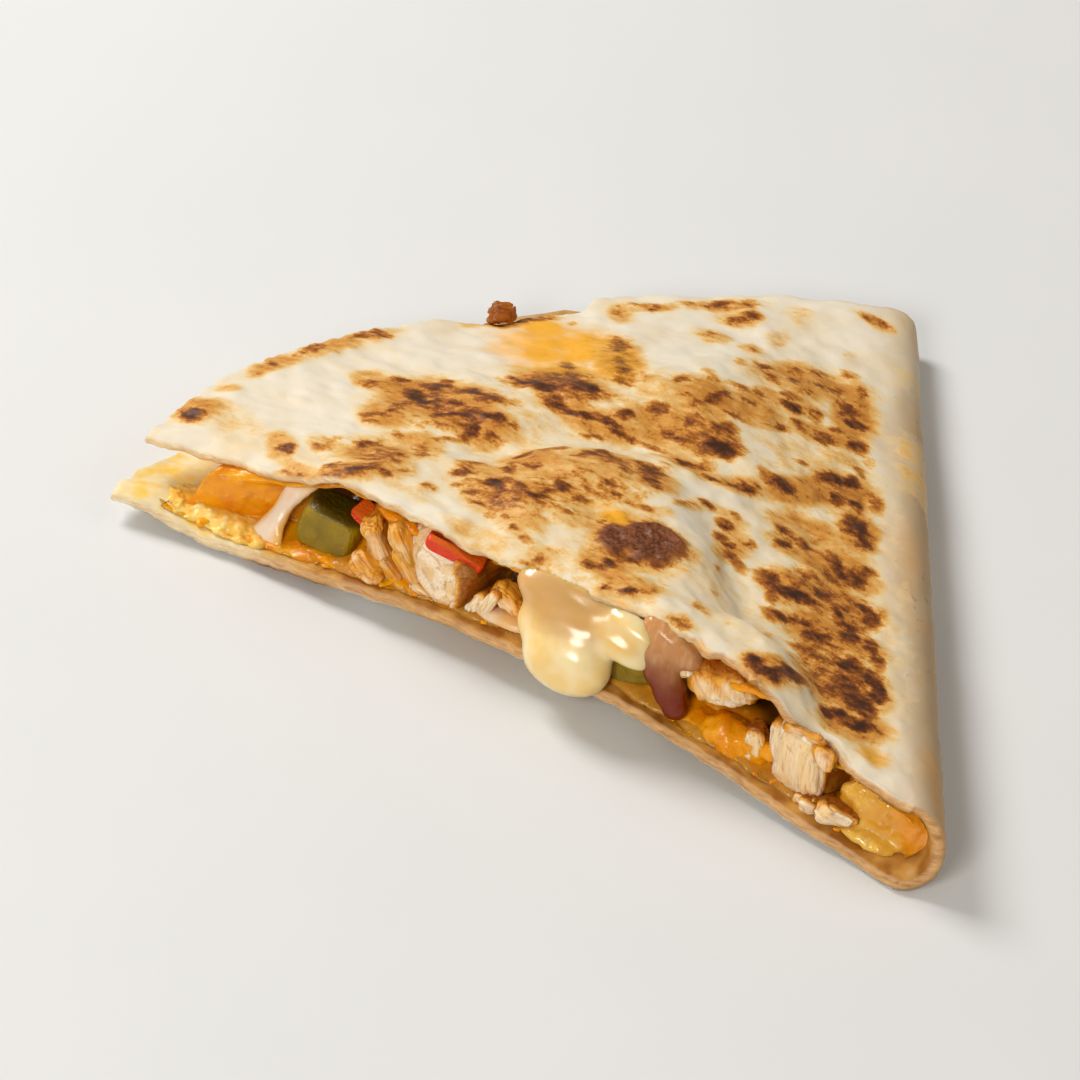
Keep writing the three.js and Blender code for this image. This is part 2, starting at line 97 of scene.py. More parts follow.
SET_BACK_RIM = 7.4
SET_BACK_FROM = 0.55

SIN = math.sin(CUT_ANGLE)
COS = math.cos(CUT_ANGLE)
BOW_TURN = 4 * CUT_BOW / RADIUS

MM = 0.001
SHIFT_X = 53.05  # these bring the middle of the footprint to the frame's origin
SHIFT_Y = -62.6
TO_FRAME = Matrix.Scale(MM, 4) @ Matrix.Translation((SHIFT_X, SHIFT_Y, 0))
print("cut length", RADIUS, "mm, box of the solids", [round(v / MM) for v in cad_box[1] - cad_box[0]])

# %% [markdown]
# ## Finding a place on the wedge
# Most of what shows lies along the cut. So besides x and y there is a second way to name a
# place: how far it is along the cut from the tip, and how deep behind the bottom flap's edge.
# The functions take whole arrays, which keeps a sheet of 46,000 points quick.


# %% Plan of the wedge
def mix(a, b, t):
    return a + (b - a) * t


def smooth(start, end, v):
    t = np.clip((v - start) / (end - start), 0, 1)
    return t * t * (3 - 2 * t)


def bow(along):
    s = np.clip(along / RADIUS, 0, 1)
    return CUT_BOW * 4 * s * (1 - s)


def from_cut(x, y):
    along = -x * SIN + y * COS
    return along, x * COS + y * SIN - bow(along)


def to_plan(along, depth):
    inward = depth + bow(along)
    return -along * SIN + inward * COS, along * COS + inward * SIN


print("middle of the cut at", np.round(to_plan(RADIUS / 2, 0), 1))

# %% [markdown]
# ## The two faces of the food
# A folded tortilla is one sheet, and its shape comes from what it lies on. The top flap climbs
# from the fold, lies over the filling and falls to the rim, and three mounds push it up where
# cheese and chicken are thickest. The bottom flap is flat on the board, except that its cut edge
# bows up and its rim curls in one place. Writing both as heights over the plan means that any
# filling can later be asked whether it fits between them.

# %% Heights of the flaps
NOTCH_FROM = 0.36  # the top flap steps back between these angles at the rim
NOTCH_TO = 0.58
NOTCH_IN = 0.03
NOTCH_OUT = 0.08
NOTCH_DEPTH = 2.4
CURL_HEIGHT = 4.2
CURL_BAND = 10.0
CORNER_CURL = 2.6  # the bottom flap's corner at the cut
CORNER_FROM = 106.0
CORNER_TO = 122.0
CORNER_DEEP = 16.0

# height and the turn per millimetre of x and of y, and where it starts
WAVES = [(0.28, 0.21, 0.09, 1.0), (0.22, 0.13, -0.24, 2.1), (0.14, 0.37, 0.31, 0.0)]
# x, y, half width, half length, height
MOUNDS = [(-44, 42, 21, 31, 3.6), (-66, 46, 25, 19, 2.3), (-30, 22, 17, 16, 4.3)]
FLAT_SHARE = 0.5  # the middle of a mound that is level
MERGE = 4  # the higher this power, the less two mounds add up where they meet


def in_notch(turn):
    rises = smooth(NOTCH_FROM, NOTCH_FROM + NOTCH_IN, turn)
    return rises * (1 - smooth(NOTCH_TO - NOTCH_OUT, NOTCH_TO, turn))


def mounds(x, y):
    total = np.zeros_like(x)
    for centre_x, centre_y, width, length, height in MOUNDS:
        rho = np.hypot((x - centre_x) / width, (y - centre_y) / length)
        total = total + (height * (1 - smooth(FLAT_SHARE, 1, rho))) ** MERGE
    return total ** (1 / MERGE)


def upper(x, y):
    fold = mix(FOLD_HEIGHT_APEX, FOLD_HEIGHT_BACK, np.clip(y / RADIUS, 0, 1))
    climb = smooth(0, SHOULDER, -x - FOLD_IN)
    waves = sum(height * np.sin(a * x + b * y + start) for height, a, b, start in WAVES)
    body = mix(fold, BODY_HEIGHT, climb) + waves * climb
    turn = np.clip(np.arctan2(-x, y) / CUT_ANGLE, 0, 1)
    rim = mix(RIM_HEIGHT_FOLD, RIM_HEIGHT_CUT, smooth(RIM_RISE_FROM, RIM_RISE_TO, turn))
    fall = smooth(RADIUS - RIM_BAND, RADIUS, np.hypot(x, y))
    return mix(body, rim, fall * smooth(BEND_SIDE, BEND_CLEAR, -x)) + mounds(x, y)


def lower(x, y):
    along, depth = from_cut(x, y)
    arch = np.sin(np.pi * np.clip(along / LIFT_LENGTH, 0, 1)) ** 2
    at_curl = in_notch(np.arctan2(-x, y)) * smooth(RADIUS - CURL_BAND, RADIUS, np.hypot(x, y))
    corner = CORNER_CURL * smooth(CORNER_FROM, CORNER_TO, along) * (1 - smooth(1, CORNER_DEEP, depth))
    return CUT_LIFT * arch * (1 - smooth(0, LIFT_WIDTH, depth)) + CURL_HEIGHT * at_curl + corner


print("height over the middle mound", round(float(upper(np.array(-44.0), np.array(42.0))), 1))

# %% [markdown]
# ## Camera, light and board
# The view comes early, so that each new piece can be looked at as soon as it is made. The camera
# is a long lens about 80 cm away that looks down by 37 degrees, held a little tilted. The light
# is soft, as from a window behind the food on the left: that rakes over the browned blisters and
# leaves the cut in gentle shade, with a weaker light from the front to open it up.

# %% Camera
CAMERA_AT = Vector((-66.5, -694.5, 513.2)) * MM
LOOKS_AT = Vector((2.0, -8.0, 8.0)) * MM
CAMERA_ROLL = math.radians(11.6)
LENS = 215.0
SENSOR = 36.0

camera_data = bpy.data.cameras.new("camera")
camera_data.lens = LENS
camera_data.sensor_width = SENSOR
camera = bpy.data.objects.new("camera", camera_data)
bpy.context.scene.collection.objects.link(camera)
aim = (LOOKS_AT - CAMERA_AT).to_track_quat("-Z", "Y").to_matrix().to_4x4()
camera.matrix_world = Matrix.Translation(CAMERA_AT) @ aim @ Matrix.Rotation(CAMERA_ROLL, 4, "Z")
bpy.context.scene.camera = camera
print("camera distance", round((LOOKS_AT - CAMERA_AT).length, 3), "m")

# %% [markdown]
# Three round lamps and a warm, weak glow from all sides make the light. The food stands on a
# plain, pale board, which belongs to the stage and not to the part.

# %% Light and board
# place and diameter in metres, watts, colour
LIGHTS = {
    "window": ((-0.48, 0.36, 0.56), 0.36, 5.1, (1.0, 0.97, 0.91)),
    "front": ((-0.35, -0.75, 0.50), 0.34, 4.4, (1.0, 0.95, 0.86)),
    "side": ((0.6, 0.1, 0.6), 0.6, 1.0, (1.0, 0.92, 0.8)),
}
for name, (place, size, watts, colour) in LIGHTS.items():
    lamp = bpy.data.lights.new(name, "AREA")
    lamp.shape = "DISK"
    lamp.size = size
    lamp.energy = watts
    lamp.color = colour
    light = bpy.data.objects.new(name, lamp)
    light.location = place
    light.rotation_euler = (-Vector(place)).to_track_quat("-Z", "Y").to_euler()
    bpy.context.scene.collection.objects.link(light)

world = bpy.data.worlds.new("room")
bpy.context.scene.world = world
world.use_nodes = True
world.node_tree.nodes["Background"].inputs["Color"].default_value = (1.0, 0.9, 0.76, 1)
world.node_tree.nodes["Background"].inputs["Strength"].default_value = 0.26
bpy.context.scene.view_settings.view_transform = "Standard"

BOARD_SIZE = 6.0
board_mesh = bmesh.new()
bmesh.ops.create_grid(board_mesh, x_segments=1, y_segments=1, size=BOARD_SIZE / 2)
board_data = bpy.data.meshes.new("board")
board_mesh.to_mesh(board_data)
board_mesh.free()
board = bpy.data.objects.new("board", board_data)
bpy.context.scene.collection.objects.link(board)
board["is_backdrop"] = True
print("lights:", ", ".join(LIGHTS))

# %% [markdown]
# ## A short way to write materials
# A material is a small graph, and the same four steps come up in every one: add a node and fill
# its inputs, mix two colours, do a sum, and read a value that was stored on the mesh. A helper
# for each keeps the recipes below readable. Colours are given as the eye sees them, 0 to 255,
# and turned into the linear values that light is worked out with.


# %% Material helpers
def srgb(red, green, blue):
    def linear(v):
        v = v / 255
        return v / 12.92 if v <= 0.04045 else ((v + 0.055) / 1.055) ** 2.4

    return (linear(red), linear(green), linear(blue), 1.0)


def add(tree, kind, inputs=(), **settings):
    made = tree.nodes.new(kind)
    for name, value in settings.items():
        setattr(made, name, value)
    for socket, value in dict(inputs).items():
        if isinstance(value, bpy.types.NodeSocket):
            tree.links.new(value, made.inputs[socket])
        else:
            made.inputs[socket].default_value = value
    return made


def tint(tree, amount, first, second):
    inputs = {0: amount, 6: first, 7: second}
    return add(tree, "ShaderNodeMix", inputs, data_type="RGBA").outputs[2]


def work(tree, operation, first, second=0.0, clamp=False):
    inputs = {0: first, 1: second}
    return add(tree, "ShaderNodeMath", inputs, operation=operation, use_clamp=clamp).outputs[0]


def spread(tree, value, low, high, to_low=0.0, to_high=1.0):
    inputs = {"Value": value, "From Min": low, "From Max": high, "To Min": to_low, "To Max": to_high}
    return add(tree, "ShaderNodeMapRange", inputs).outputs[0]


def stored(tree, name, output="Fac"):
    """What the mesh stores under this name: a number, or a place with output Vector."""
    return add(tree, "ShaderNodeAttribute", attribute_name=name).outputs[output]


def times(value, share):
    return work(value.id_data, "MULTIPLY", value, share)


def grainy(tree, where, size, detail=2.0, stretch=(1, 1, 1), turn=0.0, roughness=0.55):
    """Noise from 0 to 1, with blotches about size metres wide, longer along an axis if stretched."""
    scale = [1 / (size * s) for s in stretch]
    placed = add(tree, "ShaderNodeMapping", {"Vector": where, "Rotation": (0, 0, -math.radians(turn))})
    placed = add(tree, "ShaderNodeVectorMath", {0: placed.outputs[0], 1: scale}, operation="MULTIPLY")
    inputs = {"Vector": placed.outputs[0], "Scale": 1.0, "Detail": detail, "Roughness": roughness}
    return add(tree, "ShaderNodeTexNoise", inputs).outputs[0]


def finish_of(name, **sockets):
    """A new material with its tree, its shader and its Object coordinates. Sockets use _ for a space."""
    made = bpy.data.materials.new(name)
    made.use_nodes = True
    shader = made.node_tree.nodes["Principled BSDF"]
    for socket, value in sockets.items():
        shader.inputs[socket.replace("_", " ")].default_value = value
    where = add(made.node_tree, "ShaderNodeTexCoord").outputs["Object"]
    return made, made.node_tree, shader, where


def ruffle(tree, shader, height, distance, strength=1.0):
    inputs = {"Height": height, "Distance": distance, "Strength": strength}
    bump = add(tree, "ShaderNodeBump", inputs)
    tree.links.new(bump.outputs[0], shader.inputs["Normal"])


board_finish, tree, shader, where = finish_of("pale_board", Roughness=0.6)
cloud = grainy(tree, where, 0.05)
tree.links.new(tint(tree, cloud, srgb(222, 226, 232), srgb(228, 231, 236)), shader.inputs["Base Color"])
board.data.materials.append(board_finish)
print("helpers ready, board finished")

# %% [markdown]
# ## From a bmesh to a piece of the food
# Every piece goes the same way: it is shaped in millimetres, moved into the frame and kept
# inside its box, given its finish and set to ride on the root body, and the solids it stands
# for are hidden. Doing that in one place means that no piece can be forgotten.


# %% Piece helpers
def points_of(verts):
    return np.array([v.co for v in verts])


def place_points(verts, points):
    for vert, point in zip(verts, points):
        vert.co = point


def ripple(points, size, seed=0):
    """Smooth noise from -1 to 1 for each point, with bumps about size mm wide."""
    start = Vector((seed * 17.3, seed * 5.1, seed * 9.7))
    return np.array([noise.noise(Vector(p) / size + start) for p in points])


def mark(bm, name, values):
    layer = bm.verts.layers.float.get(name) or bm.verts.layers.float.new(name)
    for vert, value in zip(bm.verts, values):
        vert[layer] = float(value)


def make_piece(name, bm, finish, nodes=()):
    bmesh.ops.transform(bm, matrix=TO_FRAME, verts=bm.verts)
    place_points(bm.verts, np.clip(points_of(bm.verts), cad_box[0], cad_box[1]))
    bm.normal_update()
    data = bpy.data.meshes.new(name)
    bm.to_mesh(data)
    bm.free()
    data.shade_smooth()
    data.materials.append(finish)
    piece = bpy.data.objects.new(name, data)
    bpy.context.scene.collection.objects.link(piece)
    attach(piece, "root")
    if nodes:
        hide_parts(*nodes)
    triangles = sum(len(face.vertices) - 2 for face in data.polygons)
    print(f"{name}: {triangles} triangles")


# %% [markdown]
# ## The folded tortilla: where each point goes
# A tortilla starts as a flat round of dough, so its model starts as a flat grid. One direction
# of the grid runs from the tip to the rim. The other runs from the bottom flap's cut edge, round
# the fold, to the top flap's cut edge. A cloth simulation could fold it too, but would not land
# on the solid, so the fold is worked out as a formula. Each flap turns about its own tip, and
# its rim is not quite round.


# %% Where a point of the sheet goes
def top_rim(phi):
    return 0.45 * np.sin(9 * phi + 1) + 0.3 * np.sin(23 * phi) - NOTCH_DEPTH * in_notch(phi)


def bottom_rim(phi):
    return 0.5 * np.sin(7 * phi) - 0.5


def flap_point(s, across, set_back_apex, set_back_rim, rim_shape):
    tip_x = -FOLD_IN
    tip_y = (set_back_apex + FOLD_IN * COS) / SIN
    extra = (set_back_rim - set_back_apex) * smooth(SET_BACK_FROM, 1, s)
    phi = across * (CUT_ANGLE - BOW_TURN * (1 - s) - extra / (s * RADIUS))
    ahead = -tip_x * np.sin(phi) + tip_y * np.cos(phi)
    reach = np.sqrt(ahead**2 - tip_x**2 - tip_y**2 + (RADIUS + rim_shape(phi)) ** 2) - ahead
    return tip_x - s * reach * np.sin(phi), tip_y + s * reach * np.cos(phi)


def top_point(s, across):
    return flap_point(s, across, SET_BACK_APEX, SET_BACK_RIM, top_rim)


def bottom_point(s, across):
    return flap_point(s, across, 0.0, 0.0, bottom_rim)


FIRST_ROW = 0.001  # the grid starts this share of the way out, because its columns meet at the tip
ASKEW = 0.12  # the cut crosses the bend askew within this share of the rows
ASKEW_BY = 0.2  # 0 square to the fold, 1 in line with the cut


def sheet_point(s, u):
    """u is 0 at the bottom flap's cut edge, 1 to 2 round the bend and 3 at the top flap's cut."""
    bottom_x, bottom_y = bottom_point(s, 1 - np.clip(u, 0, 1))
    top_x, top_y = top_point(s, np.clip(u - 2, 0, 1))
    turn = np.clip(u - 1, 0, 1) * np.pi
    out = (FOLD_IN + FOLD_OUT) * np.sin(turn)
    climb = (1 - np.cos(turn)) / 2
    bend_y = mix(bottom_y, top_y, climb) - ASKEW_BY * out * COS / SIN * (1 - smooth(0, ASKEW, s))
    bend_z = mix(lower(bottom_x, bottom_y), upper(top_x, top_y), climb)
    x = np.where(u <= 1, bottom_x, np.where(u >= 2, top_x, -FOLD_IN + out))
    y = np.where(u <= 1, bottom_y, np.where(u >= 2, top_y, bend_y))
    z = np.where(u <= 1, lower(x, y), np.where(u >= 2, upper(x, y), bend_z))
    return x, y, z


print("tip of the top flap", np.round(sheet_point(np.array(1.0), np.array(3.0)), 1))

# %% [markdown]
# ## Where the griddle browned it
# A tortilla browns where it touches the hot plate: on the rims of its bubbles and on the mounds
# that the filling makes. So the browning is not even noise. It has two layers. Wide golden
# patches with soft outlines come first, and on them sit small dark spots, some alone and some
# run together. Both layers are tilted ovals given in lists, wavy at the edge, and stored on the
# mesh as one number per point. What is finer than the mesh comes later, in the material.

# %% Golden patches
# x, y, half length and half width in millimetres, turn in degrees, strength
GOLD_PATCHES = [
    # left end of the flap and the rim behind it
    (-98, 69.5, 4.5, 3.5, 40, 0.8), (-94.5, 76, 1.8, 1.6, 45, 0.6), (-88.5, 83.5, 6, 1.9, 48, 0.8),
    (-81, 90.5, 8, 2.4, 42, 0.8), (-75, 96, 4.5, 2.4, 35, 0.8), (-95, 70, 3, 2.5, 60, 0.4),
    # broad patch behind the left half of the cut
    (-66, 76, 10.5, 8.5, -25, 0.95), (-70, 80.5, 7, 4, 0, 0.9), (-61, 71, 7, 5.5, -10, 0.9),
    (-73.5, 71.5, 4, 5, 0, 0.8), (-76, 82, 3, 3, 0, 0.7), (-69, 65.5, 5, 3, 0, 0.7),
    # low on the left, near the cut
    (-74, 59, 6, 6.5, 20, 0.9), (-86.5, 61, 2.4, 4, 5, 0.75), (-84, 55.5, 4, 2.4, -45, 0.75),
    (-81, 62.5, 3, 2, 0, 0.6), (-76, 53.5, 7, 2.8, 5, 0.85), (-81.5, 52, 3.5, 2.4, 20, 0.75),
    (-68.5, 62, 4, 4, 30, 0.7), (-67, 51.6, 1.8, 1.4, 0, 0.5),
    # crest of the middle mound and the stipple before it
    (-53, 61.5, 6, 4.5, 0, 0.85), (-43, 62, 8, 4, 5, 0.85), (-37.5, 60, 4, 5, 0, 0.85),
    (-55.5, 57, 4, 4.5, 0, 0.75), (-62, 57.5, 4, 3, 40, 0.8), (-58, 50.5, 6, 4.5, -15, 0.75),
    (-50, 52.5, 7, 3, 15, 0.8), (-43.5, 53.5, 6, 2.8, -10, 0.75), (-55, 45, 5, 4, -40, 0.65),
    (-52, 38.5, 3, 2, -50, 0.5), (-49, 46, 3, 2, 0, 0.25),
    # round the blister and below it
    (-39.5, 43.5, 8.5, 7, -10, 0.95), (-43.5, 37.5, 5.5, 4.5, -35, 0.85), (-40, 33, 6, 3, -5, 0.85),
    (-34, 27.2, 3, 1.8, -20, 0.55), (-31, 32, 2, 2.4, 0, 0.45), (-37, 51.6, 2.6, 1.6, 0, 0.55),
    # behind the pale valley
    (-49.5, 80, 5, 5, 0, 0.9), (-44, 75, 8, 3.6, -15, 0.85), (-35, 75.5, 8, 5.5, -20, 0.85),
    (-28, 75, 4, 5, 0, 0.85), (-30, 84, 6.5, 6.5, -20, 0.9), (-33, 68.5, 5, 2.6, -20, 0.8),
    (-23, 86, 5, 5, 0, 0.85), (-37, 84, 4, 5, 0, 0.55), (-29.5, 66, 3, 2, 0, 0.65),
    # under the grease and round it
    (-50, 86, 8, 6, 0, 0.85), (-41.5, 93, 4, 10, 0, 0.85), (-47, 97, 9, 9, 0, 0.4),
    # leopard spots towards the back of the fold
    (-15, 97.5, 10.5, 6, 12, 0.85), (-8.5, 93, 4, 11, 0, 0.9), (-18, 90, 6, 3, 0, 0.8),
    (-13, 85, 6, 3.6, 0, 0.85), (-21, 83, 5, 1.8, 15, 0.75), (-10.5, 80.5, 3, 2.5, 0, 0.5),
    # down along the fold
    (-10, 73, 6, 6, 0, 0.95), (-16, 70, 9, 4, 25, 0.9), (-25, 66, 5, 2.6, 15, 0.8),
    (-8.5, 64, 3.6, 7, 0, 0.95), (-15.5, 61, 7, 4.5, 0, 0.8), (-11.5, 54, 7, 5.5, 0, 0.95),
    (-17.5, 56, 4.5, 4, 0, 0.75), (-14, 46, 10, 5.5, 0, 1.0), (-13, 38, 8.5, 5.5, 0, 1.0),
    (-11.5, 28, 8, 7.5, 0, 1.0), (-10, 19.5, 6, 4.5, 0, 0.9), (-22, 22, 5.4, 3.2, 0, 0.85),
    (-26.5, 52, 3, 7, -15, 0.75), (-29, 58.5, 5, 1.6, 0, 0.55), (-32.5, 56.3, 3.4, 1.2, 45, 0.55),
    (-7.5, 14.5, 2.6, 3, 0, 0.5), (-22, 33, 2.4, 3.6, 0, 0.3), (-28.3, 43.5, 1.4, 2, 0, 0.4),
    # back rim
    (-56, 106, 8, 2.4, 20, 0.9), (-41, 110.5, 2.4, 4, 0, 0.7), (-36, 113.5, 5, 1.6, 20, 0.7),
    (-26, 117, 7, 2.2, 18, 0.85), (-24, 113, 4, 3, 20, 0.8), (-28, 106, 3, 3, 0, 0.65),
    (-22.5, 103, 2, 2.5, 0, 0.6), (-18.6, 108.6, 4, 1.6, 70, 0.4), (-15, 117, 2, 3, 0, 0.35),
    (-4.4, 118.6, 4, 2, -25, 0.7), (-8.2, 107.8, 1.2, 2, 0, 0.35), (-2.5, 52, 1.2, 5, 0, 0.3),
    # faint gold between the patches
    (-51, 56, 15, 9, 10, 0.7), (-45, 47, 9, 5, -10, 0.62), (-78, 57, 12, 6, 20, 0.36),
    (-38, 79, 16, 12, 0, 0.4), (-14, 70, 12, 22, 0, 0.36), (-12, 34, 12, 20, 0, 0.36),
    (-24, 34, 9, 16, 15, 0.24), (-36, 68, 20, 5, 0, 0.24),
    (-60, 74, 16, 11, -20, 0.34), (-45, 36, 12, 6, -35, 0.36), (-53, 33, 8.5, 4.4, -35, 1.0),
    (-92.5, 66, 4, 7, 30, 0.3), (-50, 83, 9, 5, -15, 1.0), (-56, 51, 8, 5, -15, 0.9),
    (-29, 74, 5, 4, 0, 1.0), (-60, 42, 6, 2.6, -30, 0.4), (-70, 50, 6, 2.2, -25, 0.3),
]
print("golden patches on top:", len(GOLD_PATCHES))

# %% [markdown]
# The dark spots use the same six numbers. Those of one patch stand together, so that a patch can
# be found and changed as a whole. The grease that the cheese left and the one big blister have
# lists of their own, because each gets a finish of its own.

